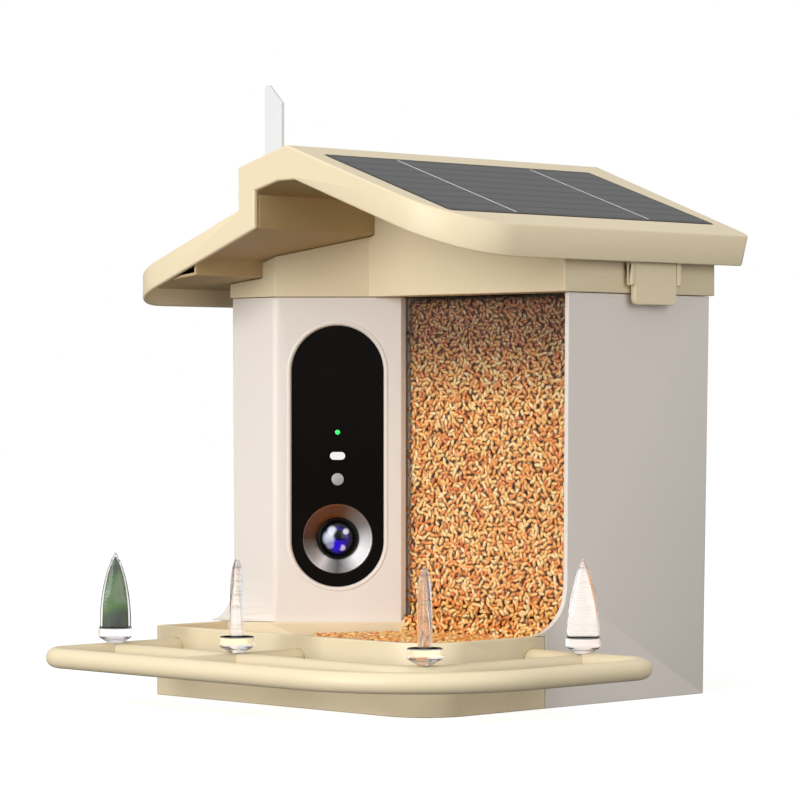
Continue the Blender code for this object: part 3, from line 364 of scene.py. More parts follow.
# %% [markdown]
# ## Clear and frosted plastic
# The spikes are thick and clear, so they refract. The antenna's blade is frosted. The hopper's pane
# is thin, and real refraction would keep the lamps' light from the seeds behind it, so it is
# mostly transparent by its alpha and keeps only its gloss.

# %% Clear and frosted plastic


def painted_leaf_reflection(name):
    """A painted reflection of dark leaves out of focus, green in the front left spike."""
    recipe = Recipe(name)
    leaves = recipe.noise(75, 1)
    stops = [
        (0.3, tone(24, 42, 12)),
        (0.45, tone(40, 78, 12)),
        (0.58, tone(70, 118, 30)),
        (0.7, tone(104, 132, 92)),
    ]
    return recipe.surface({"Base Color": recipe.ramp(stops, leaves), "Roughness": leaves * 0.2 + 0.4})


def frosted(name, colour, alpha):
    colours = (scaled(colour, 0.97), colour)
    return speckled(name, colours, (900, 2), 0.3, 0.1, {"Alpha": alpha}, fine_grain)


clear = tone(240, 239, 240)
streaky = (clear, scaled(clear, 0.95))
thick = {"Transmission Weight": 0.93, "IOR": 1.3}
finishes["clear_plastic"] = speckled("clear plastic", streaky, (90, 3), 0.02, 0.03, thick)
finishes["frosted_plastic"] = frosted("frosted blade", tone(238, 239, 241), 0.9)
finishes["white_light"] = frosted("light window", tone(252, 252, 250), 1.0)
print("clear plastics ready")

# %% [markdown]
# ## Solar cells
# The panel's pattern is drawn in a place that is turned with the roof's right slope: X runs down
# it and Y along the ridge. Cell strips run along the ridge with thin dark gaps, and two pale
# conductors cross them. All of it is under one smooth clear coat.

# %% The slope and the solar cells
panel_low, panel_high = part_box("solar_panel")
roof_rise = 41.7 * MM
roof_run = 117.9 * MM
panel_sheet = 1.3 * MM
slope = math.atan2(roof_rise, roof_run)
slope_turn = Matrix.Rotation(slope, 4, "Y")
panel_middle = (panel_low + panel_high) / 2 + slope_turn @ Vector((0, 0, panel_sheet / 2))
SLOPE = Matrix.Translation(panel_middle) @ slope_turn
panel_width = (panel_high.x - panel_low.x - panel_sheet * math.sin(slope)) / math.cos(slope)
panel_length = panel_high.y - panel_low.y
cell_rows = 8
cell_border = 2.6 * MM
cell_gap = 2.0 * MM
conductor_width = 1.3 * MM


def solar_cells():
    recipe = Recipe("solar cells")
    x, y, _ = recipe.split(recipe.coordinates(SLOPE))
    row_pitch = (panel_width - 2 * cell_border) / cell_rows
    gaps = recipe.maths("WRAP", x, row_pitch / 2, -row_pitch / 2)
    in_gap = abs(gaps) < cell_gap / 2
    outside_x = abs(x) > panel_width / 2 - cell_border
    outside_y = abs(y) > panel_length / 2 - cell_border
    border = recipe.maths("MAXIMUM", outside_x, outside_y)
    conductor = abs(abs(y) - panel_length / 4) < conductor_width / 2
    speckle = recipe.noise(700, 3, SLOPE)
    cell = recipe.blend(speckle, tone(50, 51, 52), tone(60, 61, 62))
    ruled = recipe.blend(in_gap, cell, tone(4, 4, 5))
    wired = recipe.blend(conductor, ruled, tone(228, 229, 230))
    return recipe.surface(
        {
            "Base Color": recipe.blend(border, wired, tone(28, 28, 31)),
            "Roughness": speckle * 0.08 + 0.34,
            "Specular IOR Level": 0.14,
            "Coat Weight": 0.04,
            "Coat Roughness": 0.12,
        }
    )


finishes["solar_cell"] = solar_cells()
print("panel", round(panel_width / MM, 1), "by", round(panel_length / MM, 1), "mm")

# %% [markdown]
# ## Lens glass and lamps
# Coated glass shows blue and violet. The base colour paints that reflection by the distance from
# the axis: a black pupil, a violet ring and a grey edge. On top lie painted reflections of the lamps
# as soft spots, each with a place and a size, as shares of the glass's radius, and a colour. The
# status light glows by emission.

# %% Lens glass and lamps
# Painted reflections of the lamps: place, size as shares of the glass's radius, and colour.
painted_lens_reflections = [
    (0.0, -0.42, 0.62, tone(46, 22, 216)),
    (-0.6, 0.02, 0.5, tone(186, 196, 214)),
    (-0.36, 0.48, 0.36, tone(216, 220, 238)),
    (-0.48, -0.42, 0.3, tone(150, 150, 196)),
    (0.12, 0.2, 0.44, tone(6, 3, 12)),
    (0.52, 0.44, 0.24, tone(226, 226, 244)),
    (0.3, -0.6, 0.24, tone(222, 210, 252)),
    (0.02, -0.5, 0.26, tone(40, 16, 230)),
]
reflection_spot_edge = 2.2


def coated_glass(name, place, radius):
    recipe = Recipe(name)
    x, y, _ = recipe.split(recipe.coordinates(place))
    x = x / radius
    y = y / radius
    out = recipe.length(x, y)
    # The coating's reflection, painted into the base colour by the distance from the axis.
    stops = [
        (0.0, tone(6, 4, 16)),
        (0.4, tone(14, 8, 50)),
        (0.62, tone(52, 40, 150)),
        (0.78, tone(34, 30, 84)),
        (0.84, tone(60, 60, 66)),
        (1.0, tone(24, 24, 26)),
    ]
    glass = recipe.ramp(stops, out)
    for left, low, size, colour in painted_lens_reflections:
        away = recipe.length(x - left, y - low) / size
        glass = recipe.blend(recipe.limited((1 - away) * reflection_spot_edge), glass, colour)
    return recipe.surface(
        {
            "Base Color": glass,
            "Roughness": out * 0.02 + 0.03,
            "Specular IOR Level": 0.25,
            "Coat Weight": 0.2,
            "Coat Roughness": 0.01,
        }
    )


def glowing(name, colour, strength, place, radius):
    recipe = Recipe(name)
    x, y, _ = recipe.split(recipe.coordinates(place))
    out = recipe.length(x, y) / radius
    return recipe.surface(
        {
            "Base Color": recipe.blend(out, scaled(colour, 1.3), scaled(colour, 0.7)),
            "Roughness": 0.2,
            "Emission Color": recipe.blend(out, scaled(colour, 1.5), scaled(colour, 0.8)),
            "Emission Strength": strength,
        }
    )


glass_radius = 8.1
LED = on_face("status_led")
finishes["lens_glass"] = coated_glass("coated lens glass with painted reflections", LENS, glass_radius * MM)
finishes["green_light"] = glowing("green status light", tone(30, 205, 80), 1.2, LED, 2 * MM)
print("glass and lamps ready")

# %% [markdown]
# ## Inner pieces
# Boards and cells are seen only when the feeder is taken apart, but they have their own finish:
# solder mask with copper lines below it, and a printed shrink wrap.

# %% Circuit board and cell wrap


def solder_mask(name):
    recipe = Recipe(name)
    cells = recipe.node(
        "ShaderNodeTexVoronoi",
        {"feature": "DISTANCE_TO_EDGE", "distance": "MANHATTAN"},
        {"Vector": recipe.coordinates(), "Scale": 160.0},
    )
    lines = cells < 0.06
    return recipe.surface(
        {
            "Base Color": recipe.blend(lines, tone(18, 92, 52), tone(52, 128, 74)),
            "Roughness": lines * 0.15 + 0.3,
            "Normal": recipe.bump(lines, 0.03 * MM),
        }
    )


def shrink_wrap(name):
    recipe = Recipe(name)
    _, _, z = recipe.split(recipe.coordinates())
    wrinkle = recipe.noise(220, 2)
    band = recipe.maths("WRAP", z, 34 * MM, 0.0) < 3 * MM
    return recipe.surface(
        {
            "Base Color": recipe.blend(band, tone(38, 92, 150), tone(222, 226, 230)),
            "Roughness": wrinkle * 0.15 + 0.2,
            "Normal": recipe.bump(wrinkle, 0.05 * MM),
        }
    )


finishes["circuit_board"] = solder_mask("solder mask")
finishes["cell_wrap"] = shrink_wrap("cell wrap")
print(len(finishes), "finishes so far")

# %% [markdown]
# ## Wheat
# Each grain gets a random number, stored on its points as `tint`. A ramp turns it into a husk
# colour from brown to straw, and noise keeps the grain's two ends from being alike. The points
# also know how open they lie, as `open`, and this paints shade: the flanks of a grain, next to its
# neighbours, are painted dark, and so is the layer behind. High up in the hopper the wheat is in the
# roof's shade. The studio's soft light throws none, so the finish darkens with height as a painted
# shadow.

# %% Wheat husk
shade_foot = 152 * MM
shade_head = 188 * MM
shade = (0.3, 0.23, 0.17)


def wheat_husk(name):
    recipe = Recipe(name)
    mottle = recipe.noise(420, 2)
    stops = [
        (0.0, tone(200, 96, 34)),
        (0.2, tone(236, 140, 58)),
        (0.45, tone(252, 184, 96)),
        (0.7, tone(255, 214, 136)),
        (1.0, tone(255, 240, 192)),
    ]
    husk = recipe.ramp(stops, recipe.stored("tint") * 0.75 + mottle * 0.25)
    _, _, height = recipe.split(recipe.coordinates())
    rise = (height - shade_foot) / (shade_head - shade_foot) + mottle * 0.3
    # Painted shade between grains: the less open a point, the darker its husk.
    painted_shade_stops = [
        (0.0, (0.03, 0.015, 0.01)),
        (0.35, (0.12, 0.07, 0.04)),
        (0.6, (0.55, 0.46, 0.38)),
        (0.8, (1, 1, 1)),
    ]
    lit = recipe.blend(1.0, husk, recipe.ramp(painted_shade_stops, recipe.stored("open")), "MULTIPLY")
    return recipe.surface(
        {
            "Base Color": recipe.blend(recipe.limited(rise), lit, shade, "MULTIPLY"),
            "Roughness": mottle * 0.2 + 0.26,
            "Specular IOR Level": 0.75,
            "Normal": recipe.bump(mottle, 0.1 * MM),
        }
    )


def painted_shade_between_grains(name):
    """What shows between grains: wheat in shade, painted dark and mottled a little."""
    recipe = Recipe(name)
    dust = recipe.noise(300, 2)
    return recipe.surface(
        {"Base Color": recipe.blend(dust, tone(62, 26, 8), tone(104, 52, 20)), "Roughness": 0.9}
    )


finishes["seeds"] = wheat_husk("wheat husk")
print("wheat ready")

# %% [markdown]
# ## Give every node its finish
# The record fills the slots of the imported nodes.

# %% Assign finishes to the imported nodes
for node, made in frame["nodes"].items():
    made.data.materials.clear()
    made.data.materials.append(finishes[slot_of_node[node]])
print("finished", len(frame["nodes"]), "nodes")

# %% [markdown]
# ## Two tools for pieces
# `dress` turns a bmesh into a finished piece that takes its body from a node, and its finish from the
# node's slot.
# `soften` starts from the node's own solid. The import splits its faces into loose triangles, so
# they are merged, and flat faces are cut anew into well-shaped triangles. A Bevel modifier then
# rounds only the edges that carry a weight, which are the real ones, as the mould does. The seams
# inside a flat face carry none, and neither do the small facets of the walls' flare, which would
# crumple.

# %% Meshes and objects


def mesh_of(name, shape):
    """The bmesh as a mesh. The bmesh itself is let go."""
    mesh = bpy.data.meshes.new(name)
    shape.to_mesh(mesh)
    shape.free()
    return mesh


def put_in_scene(name, data):
    made = bpy.data.objects.new(name, data)
    bpy.context.scene.collection.objects.link(made)
    return made


# %% Dress and soften
smooth_angle = math.radians(40)
rounded_from = math.radians(32)
hardly_bent = math.radians(1)
weld = 0.005 * MM


def weigh_edges(shape, spared):
    """Marks the edges that are rounded. Sharp ones in a spared region stay as they are."""
    weight = shape.edges.layers.float.new("bevel_weight_edge")
    for edge in shape.edges:
        if not edge.is_manifold or edge.calc_face_angle() < rounded_from:
            continue
        middle = (edge.verts[0].co + edge.verts[1].co) / 2
        if spared and spared(middle):
            edge.smooth = False
        else:
            edge[weight] = 1.0


def dress(name, shape, node, stands_for=None, finish=None, rounding=0, spared=None, smooth=smooth_angle):
    """A finished piece from a bmesh, which rides with a node and stands for it or for others."""
    if rounding:
        weigh_edges(shape, spared)
    mesh = mesh_of(name, shape)
    mesh.materials.append(finish or finishes[slot_of_node[node]])
    made = put_in_scene(name, mesh)
    if rounding:
        bevel = made.modifiers.new("rounded edges", "BEVEL")
        bevel.width = rounding
        bevel.segments = 3
        bevel.limit_method = "WEIGHT"
        bevel.use_clamp_overlap = False
        bevel.harden_normals = True
        bevel.loop_slide = False
    else:
        mesh.shade_smooth()
        mesh.set_sharp_from_angle(angle=smooth)
    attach(made, body_of_node[node])
    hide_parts(*([node] if stands_for is None else stands_for))
    print(name, "has", len(mesh.polygons), "faces")
    return made


def soften(node, name, width, spared=None, finish=None):
    """The node's solid again, with its edges rounded by width except where they are spared."""
    shape = bmesh.new()
    shape.from_mesh(frame["nodes"][node].data)
    bmesh.ops.remove_doubles(shape, verts=shape.verts, dist=weld)
    bmesh.ops.dissolve_limit(shape, angle_limit=hardly_bent, verts=shape.verts, edges=shape.edges)
    bmesh.ops.triangulate(shape, faces=shape.faces, ngon_method="BEAUTY")
    for face in shape.faces:
        bends = [edge.calc_face_angle(0) for edge in face.edges]
        face.smooth = any(hardly_bent < bend < rounded_from for bend in bends)
    dress(name, shape, node, rounding=width, spared=spared, finish=finish)


# %% [markdown]
# ## The big mouldings
# Walls, collar, roof and tray keep the CAD solids' sizes. Their edges are what the eye reads as
# plastic: the roof has a generous round, the walls a tight one.

# %% Soften the mouldings
softened_nodes = {
    "collar": ("upper_collar", 0.5),
    "roof_shell": ("roof_cover", 1.1),
    "tray": ("seed_tray", 0.6),
    "latch_clip": ("latch_tab", 0.6),
    "antenna_blade": ("antenna_flag", 0.3),
    "antenna_base": ("antenna_fork", 0.4),
    "mount_plate": ("back_mount", 0.6),
    "service_door": ("battery_door", 0.4),
    "usb_flap": ("socket_flap", 0.4),
    "power_button": ("push_button", 0.3),
}
for node, (name, width) in softened_nodes.items():
    soften(node, name, width * MM)
# The eave lining under the roof gets a darker beige: painted shade, which the studio light alone doesn't
# give.
soften("eave_liner", "left_eave_lining", 0.5 * MM, finish=moulded("liner", tone(190, 166, 122), 0.5))
flare_foot, flare_head = 34 * MM, 58 * MM
flare_back = -51 * MM


def in_flare(point):
    return flare_foot < point.z < flare_head and point.y < flare_back


soften("body_shell", "house_walls", 0.4 * MM, spared=in_flare)

# %% [markdown]
# ## The perch
# The rails are bars that a machine bends: straight runs and turns about an upright axis.
# `bend_bar` does the same. It extrudes the bar's end face along its heading for a run, and spins
# it for a turn, so that the bar keeps its section all the way.

# %% Push out and settle


def points_and_faces(geometry):
    points = [part for part in geometry if isinstance(part, bmesh.types.BMVert)]
    return points, [part for part in geometry if isinstance(part, bmesh.types.BMFace)]


def push_out(shape, faces):
    """Extrudes faces, and gives the new points and faces, which still lie where the old ones do."""
    return points_and_faces(bmesh.ops.extrude_face_region(shape, geom=faces)["geom"])


def settle(shape, place):
    """Turns all faces outwards and puts the shape at its place."""
    bmesh.ops.recalc_face_normals(shape, faces=shape.faces)
    bmesh.ops.transform(shape, matrix=place, verts=shape.verts)


# %% Bend the perch rails
up = Vector((0, 0, 1))
bend_step = math.radians(6)


def bend_bar(shape, radius, start, heading, moves, sides):
    """A bar from start along heading; moves are (run, turn in degrees, radius of the turn)."""
    start = Vector(start)
    heading = Vector(heading)
    place = Matrix.Translation(start) @ heading.to_track_quat("Z", "Y").to_matrix().to_4x4()
    ring = bmesh.ops.create_circle(shape, cap_ends=True, segments=sides, radius=radius, matrix=place)
    tip = ring["verts"][0].link_faces[:]
    for run, turn, bend in moves:
        points, tip = push_out(shape, tip)
        bmesh.ops.translate(shape, vec=heading * run, verts=points)
        start = start + heading * run
        if turn:
            angle = math.radians(turn)
            centre = start + up.cross(heading) * bend
            steps = round(angle / bend_step)
            spun = bmesh.ops.spin(shape, geom=tip, cent=centre, axis=up, angle=angle, steps=steps)
            _, tip = points_and_faces(spun["geom_last"])
            turned_by = Matrix.Rotation(angle, 3, "Z")
            start = centre + turned_by @ (start - centre)
            heading = turned_by @ heading


perch_low, perch_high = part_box("perch_frame")
tray_low, tray_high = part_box("tray")
outer_rail = 4.9 * MM
inner_rail = 4.25 * MM
small_bend = 16 * MM
inner_bend = 27 * MM
sweep = 73 * MM
socket = 2.7 * MM
rail_height = perch_low.z + outer_rail
rail_left = perch_low.x + outer_rail
rail_right = perch_high.x - outer_rail
rail_front = perch_low.y + outer_rail
rail_end = perch_high.y - outer_rail
inner_front = -189.8 * MM
inner_right = 132.1 * MM
cross_bar = 11.4 * MM
tray_front = tray_low.y + socket
tray_side = tray_high.x - socket

perch = bmesh.new()
outer_moves = [
    (tray_front - rail_front - small_bend, 90, small_bend),
    (rail_right - rail_left - small_bend - sweep, 90, sweep),
    (rail_end - rail_front - sweep - small_bend, 90, small_bend),
    (rail_right - small_bend - tray_side, 0, 0),
]
inner_moves = [
    (inner_right - rail_left - inner_bend, 90, inner_bend),
    (rail_end - inner_front - inner_bend, 0, 0),
]
for radius, x, y, heading, moves, sides in (
    (outer_rail, rail_left, tray_front, (0, -1, 0), outer_moves, 28),
    (inner_rail, rail_left, inner_front, (1, 0, 0), inner_moves, 24),
    (inner_rail, cross_bar, rail_front, (0, 1, 0), [(tray_front - rail_front, 0, 0)], 24),
):
    bend_bar(perch, radius, (x, y, rail_height), heading, moves, sides)
dress("perch_rails", perch, "perch_frame")

# %% [markdown]
# ## Turned and stacked pieces
# Two tools cover everything round. `lathe` spins a profile about the place's Z axis. `stack` grows
# a skin ring by ring, and each ring may be wider one way than the other, which is what the
# flattened spikes need.

# %% Lathe and stack


def lathe(name, node, profile, place, steps=48):
    """A piece from a profile of (radius, height) in millimetres, spun into a closed skin."""
    shape = bmesh.new()
    points = [shape.verts.new((radius * MM, 0, height * MM)) for radius, height in profile]
    line = [shape.edges.new(pair) for pair in zip(points, points[1:])]
    bmesh.ops.spin(
        shape,
        geom=points + line,
        cent=(0, 0, 0),
        axis=(0, 0, 1),
        angle=2 * math.pi,
        steps=steps,
        use_merge=True,
    )
    bmesh.ops.remove_doubles(shape, verts=shape.verts, dist=0.002 * MM)
    settle(shape, place)
    dress(name, shape, node)


def stack(shape, rings, place, segments=32):
    """A skin through rings of (half width, half depth, height), closed at both ends."""
    first = bmesh.ops.create_circle(shape, cap_ends=True, segments=segments, radius=1)
    points = first["verts"]
    tip = points[0].link_faces[:]
    wide, deep, height = 1, 1, 0
    for number, (half_width, half_depth, level) in enumerate(rings):
        if number > 0:
            points, tip = push_out(shape, tip)
        bmesh.ops.scale(shape, vec=(half_width / wide, half_depth / deep, 1), verts=points)
        bmesh.ops.translate(shape, vec=(0, 0, level - height), verts=points)
        wide, deep, height = half_width, half_depth, level
    settle(shape, place)


# %% [markdown]
# ## Clear spikes
# Each spike is clear plastic: a peg, a tapered foot, a round disc and a leaf-shaped blade that is
# broad one way and thin the other. The blade's outline is a formula, full at the foot and pointed
# at the tip. The first spike has a green core, a painted reflection of dark leaves out of focus.

# %% Clear spikes
spike_turns = {"spike_1": 45, "spike_2": 135, "spike_3": 135, "spike_4": 45}
peg = 1.5 * MM
disc = 8.4 * MM
disc_round = 0.5 * MM
disc_foot, disc_head = 2.9 * MM, 7.9 * MM
blade_half = 7.8 * MM
blade_depth = 3.4 * MM
spike_drop = 2.6 * MM
core_foot, core_share = 8.2 * MM, 0.8
rail_top = rail_height + inner_rail


def spike_rings(length):
    """Rings of the peg, the foot, the disc and the leaf, as half width, half depth and height."""
    turned = [
        (peg, -3.0 * MM),
        (peg, -1.0 * MM),
        (2.4 * peg, 0.2 * MM),
        (disc - disc_round, disc_foot),
        (disc, disc_foot + disc_round),
        (disc, disc_head - disc_round),
        (disc - disc_round, disc_head),
    ]
    rings = [(radius, radius, height) for radius, height in turned]
    return rings + leaf_rings(disc_head, length - spike_drop, 1.0)


def leaf_rings(foot, tip, share_of_width):
    """Rings of a leaf that stays thick almost up to its tip."""
    rings = []
    steps = 64
    for step in range(steps + 1):
        share = math.sin(math.pi / 2 * step / steps)
        broad = max(max(1 - share ** 2.2, 0.0) ** 0.82, 0.06) * share_of_width
        thick = max(max(1 - share ** 5, 0.0) ** 0.6, 0.1) * share_of_width
        rings.append((blade_half * broad, blade_depth * thick, foot + (tip - foot) * share))
    return rings


for node, turn in spike_turns.items():
    low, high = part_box(node)
    middle = (low + high) / 2
    foot = Matrix.Translation((middle.x, middle.y, rail_top))
    place = foot @ Matrix.Rotation(math.radians(turn), 4, "Z")
    shape = bmesh.new()
    stack(shape, spike_rings(high.z - rail_top), place, segments=48)
    dress(f"clear_{node}", shape, node)
    if node == "spike_1":
        # The green core carries a painted reflection of leaves, not a part of the spike.
        core = bmesh.new()
        stack(core, leaf_rings(core_foot, high.z - rail_top - 2 * spike_drop, core_share), place)
        dress("leaf_reflection_core", core, node, stands_for=(), finish=painted_leaf_reflection("painted reflection of leaves"))

# %% [markdown]
# ## The camera's panel
# The gloss panel is a pill with a round hole for the lens. A circle becomes a pill when its upper
# and lower halves are moved apart, and a bridge between pill and hole makes the flat face. An
# extrusion gives it a thickness, and a Bevel modifier rounds its rims.

# %% The camera's panel
pill_segments = 96


def pill(shape, width, height, middle=0.0, level=0.0, filled=False):
    """An upright pill round a middle height, at a level above its plane. Gives its edges."""
    half_step = Matrix.Rotation(math.pi / pill_segments, 4, "Z")
    ring = bmesh.ops.create_circle(
        shape, cap_ends=filled, segments=pill_segments, radius=width / 2, matrix=half_step
    )
    apart = (height - width) / 2
    for half in (1, -1):
        points = [point for point in ring["verts"] if point.co.y * half > 0]
        bmesh.ops.translate(shape, vec=(0, apart * half, 0), verts=points)
    bmesh.ops.translate(shape, vec=(0, middle, level), verts=ring["verts"])
    return list({edge for point in ring["verts"] for edge in point.link_edges})


def thicken(shape, place):
    """Gives a flat face in the XY plane the panel's thickness, and puts the plate at the place."""
    points, _ = push_out(shape, shape.faces[:])
    bmesh.ops.translate(shape, vec=(0, 0, -bezel_sheet), verts=points)
    settle(shape, place)


ring_radius = 18.0 * MM
BEZEL = FACE @ Matrix.Translation((0, 0, -bezel_recess))
panel = bmesh.new()
outline = pill(panel, bezel_width, bezel_height)
hole = pill(panel, 2 * ring_radius, 2 * ring_radius, rise_of("lens_ring"))
bmesh.ops.bridge_loops(panel, edges=outline + hole)
thicken(panel, BEZEL)
for face in panel.faces:
    face.smooth = abs(face.normal.dot(BEZEL.col[2].xyz)) < 0.5
dress("camera_panel", panel, "camera_bezel", rounding=0.35 * MM)

# %% [markdown]
# Round the panel the wall has a low rolled rim, which shows as a pale line. Its section is given
# as how far each point lies outside the panel's edge, and how far in front of the wall.

# %% Rim of the camera's opening
rim_section = [
    (2.3, -0.3),
    (2.15, 0.02),
    (1.8, 0.26),
    (1.3, 0.38),
    (0.8, 0.32),
    (0.35, 0.05),
    (0.05, -0.45),
    (-0.15, -1.1),
    (-0.2, -2.4),
    (2.3, -2.2),
]
rim = bmesh.new()
loops = [
    pill(rim, bezel_width + 2 * reach * MM, bezel_height + 2 * reach * MM, level=proud * MM)
    for reach, proud in rim_section
]
for loop, following in zip(loops, loops[1:] + loops[:1]):
    bmesh.ops.bridge_loops(rim, edges=loop + following)
settle(rim, FACE)
dress("camera_opening_rim", rim, "body_shell", stands_for=())

# %% [markdown]
# ## The lens, its cone and its barrel
# All three are turned on the lens axis. The cone's rolled rim stands a little proud of the panel.
# The barrel steps down to the glass, which is the cap of a sphere: the sphere's radius follows
# from the cap's rise and half width.

# %% The lens, its cone and its barrel
cone_profile = [
    (17.9, -8.6),
    (17.9, -1.8),
    (17.7, -1.45),
    (17.4, -1.3),
    (17.1, -1.45),
    (16.9, -1.8),
    (10.9, -6.5),
    (10.9, -8.6),
    (17.9, -8.6),
]
barrel_profile = [
    (10.4, -16.0),
    (10.4, -5.5),
    (10.2, -5.1),
    (9.8, -4.95),
    (9.5, -5.05),
    (9.3, -5.4),
    (9.2, -6.2),
    (8.4, -7.0),
    (8.3, -7.6),
    (8.3, -16.0),
    (10.4, -16.0),
]
lathe("lens_cone", "lens_ring", cone_profile, LENS)
lathe("lens_tube", "lens_barrel", barrel_profile, LENS)


def cap_profile(radius, rise, front, depth, steps=14):
    """A plano-convex lens: the cap of a sphere over a short cylinder, in millimetres."""
    ball = (radius ** 2 + rise ** 2) / (2 * rise)
    widest = math.asin(radius / ball)
    turns = [widest * step / steps for step in range(steps + 1)]
    cap = [(ball * math.sin(turn), front - ball * (1 - math.cos(turn))) for turn in turns]
    return [*cap, (radius, front - depth), (0, front - depth)]


lathe("front_glass", "lens_front", cap_profile(glass_radius, 3.0, -4.4, 5.0), LENS)

# %% [markdown]
# ## Status light, lamp window and motion sensor
# Three small windows sit above the lens. Each stands a fraction of a millimetre proud of the
# panel, so that its edge catches light.

# %% Small windows above the lens
lamp_wide, lamp_tall, lamp_proud = 7.9 * MM, 4.1 * MM, 0.15 * MM
lathe("status_lamp", "status_led", cap_profile(1.4, 0.4, -1.5, 3.2), LED)
lathe("motion_window", "pir_lens", cap_profile(3.35, 0.7, -1.2, 3.5), on_face("pir_lens"))
lamp = bmesh.new()
pill(lamp, lamp_tall, lamp_wide, filled=True)
sideways = Matrix.Rotation(math.radians(90), 4, "Z")
LAMP = BEZEL @ Matrix.Translation((0, rise_of("light_window"), lamp_proud)) @ sideways
thicken(lamp, LAMP)
dress("lamp_window", lamp, "light_window", rounding=0.25 * MM)

# %% [markdown]
# ## The solar panel
# One sheet of glass, let into the slope. Its pattern is in the material, so the mesh is a cube that
# is stretched, and beveled at its four upright edges.

# %% The solar panel
glass = bmesh.new()
bmesh.ops.create_cube(glass, size=1)
bmesh.ops.scale(glass, vec=(panel_width, panel_length, panel_sheet), verts=glass.verts)
upright = [edge for edge in glass.edges if abs(edge.verts[0].co.z - edge.verts[1].co.z) > 0]
bmesh.ops.bevel(
    glass, geom=upright, offset=2 * MM, segments=5, profile=0.5, affect="EDGES", material=-1
)
sunk = Matrix.Translation((0, 0, -panel_sheet / 2))
bmesh.ops.transform(glass, matrix=SLOPE @ sunk, verts=glass.verts)
dress("solar_glass", glass, "solar_panel", rounding=0.25 * MM)

# %% [markdown]
# ## Wheat in the hopper and in the tray
# What shows of the wheat in the hopper is the layer that leans on the pane. Thousands of grains are
# too many for a physics simulation, so they are laid on a grid, and each is moved, turned and
# tinted by chance. A grain is a coarse ball, stretched, with a crease along one side. A dark core
# behind the layers, its colour painted shade, closes the gaps between grains.

# %% One grain, and how grains are laid
dice = random.Random(11)
grain_long = 2.35 * MM
grain_wide = 1.2 * MM
grain_deep = 1.1 * MM

grain = bmesh.new()
bmesh.ops.create_uvsphere(grain, u_segments=6, v_segments=5, radius=1)
crease = [point for point in grain.verts if point.co.x > 0.5 and abs(point.co.y) < 0.01]
bmesh.ops.translate(grain, vec=(-0.3, 0, 0), verts=crease)
bmesh.ops.scale(grain, vec=(grain_deep, grain_wide, grain_long), verts=grain.verts)
bmesh.ops.rotate(grain, matrix=Matrix.Rotation(math.radians(90), 3, "Y"), verts=grain.verts)
grain_mesh = mesh_of("grain", grain)


def tossed(place, turn_spread, tilt_spread):
    """The place with a chance turn in its plane, a chance tilt and a chance roll."""
    turn = Matrix.Rotation(dice.uniform(-turn_spread, turn_spread), 4, "Z")
    tilt = Matrix.Rotation(dice.gauss(0, tilt_spread), 4, "Y")
    roll = Matrix.Rotation(dice.uniform(-math.pi, math.pi), 4, "X")
    size = Matrix.Diagonal((dice.uniform(0.85, 1.12), dice.uniform(0.85, 1.1), 1, 1))
    return place @ turn @ tilt @ roll @ size


def keep_numbers(mesh, name, numbers):
    """Stores one number for each point of a mesh."""
    attribute = mesh.attributes.new(name, "FLOAT", "POINT")
    attribute.data.foreach_set("value", numbers.astype(np.float32))


def pour(name, places, open_side, painted_light_share=1.0, stands_for=()):
    """One piece of many grains, each with its own tint, that lie open to one side and get painted shade
    away from it.
    """
    heap = bmesh.new()
    for place in places:
        one = grain_mesh.copy()
        one.transform(place)
        heap.from_mesh(one)
        bpy.data.meshes.remove(one)
    mesh = dress(name, heap, "seed_fill", stands_for=stands_for, smooth=math.pi).data
    points_each = len(grain_mesh.vertices)
    keep_numbers(mesh, "tint", np.repeat([dice.random() for _ in places], points_each))
    points = np.empty(len(mesh.vertices) * 3, dtype=np.float32)
    mesh.vertices.foreach_get("co", points)
    middles = np.repeat([place.translation for place in places], points_each, axis=0)
    # Painted shade: points turned away from the open side, and deeper layers, get a lower number.
    ahead = (points.reshape(-1, 3) - middles) @ np.array(open_side) / grain_wide
    keep_numbers(mesh, "open", np.clip(0.5 + 0.5 * ahead, 0, 1) * painted_light_share)


# %% [markdown]
# A field of grains lies in a plane: a matrix whose X and Y run along the field and whose Z is
# its outward side. Two layers are enough, because the second one shows only in the gaps.

# %% Wheat behind the pane and on top
fill_low, fill_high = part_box("seed_fill")
pane_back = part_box("seed_window")[1].y
grain_pitch = (3.1 * MM, 2.15 * MM)
layer_step = 1.3 * MM
second_layer_painted_light = 0.66


def field(place, width, height, layer=0):
    """Places of grains over a width and a height in the place's plane, in a layer behind it."""
    columns = round(width / grain_pitch[0])
    rows = round(height / grain_pitch[1])
    places = []
    for row in range(rows):
        for column in range(columns):
            x = (column + 0.5 * ((row + layer) % 2) + dice.uniform(-0.3, 0.3)) * width / columns
            y = (row + dice.uniform(-0.35, 0.35)) * height / rows
            z = -layer * layer_step - dice.uniform(0, 1.1) * MM
            spot = place @ Matrix.Translation((x, y, z))
            places.append(tossed(spot, math.pi / 2, 0.25))
    return places


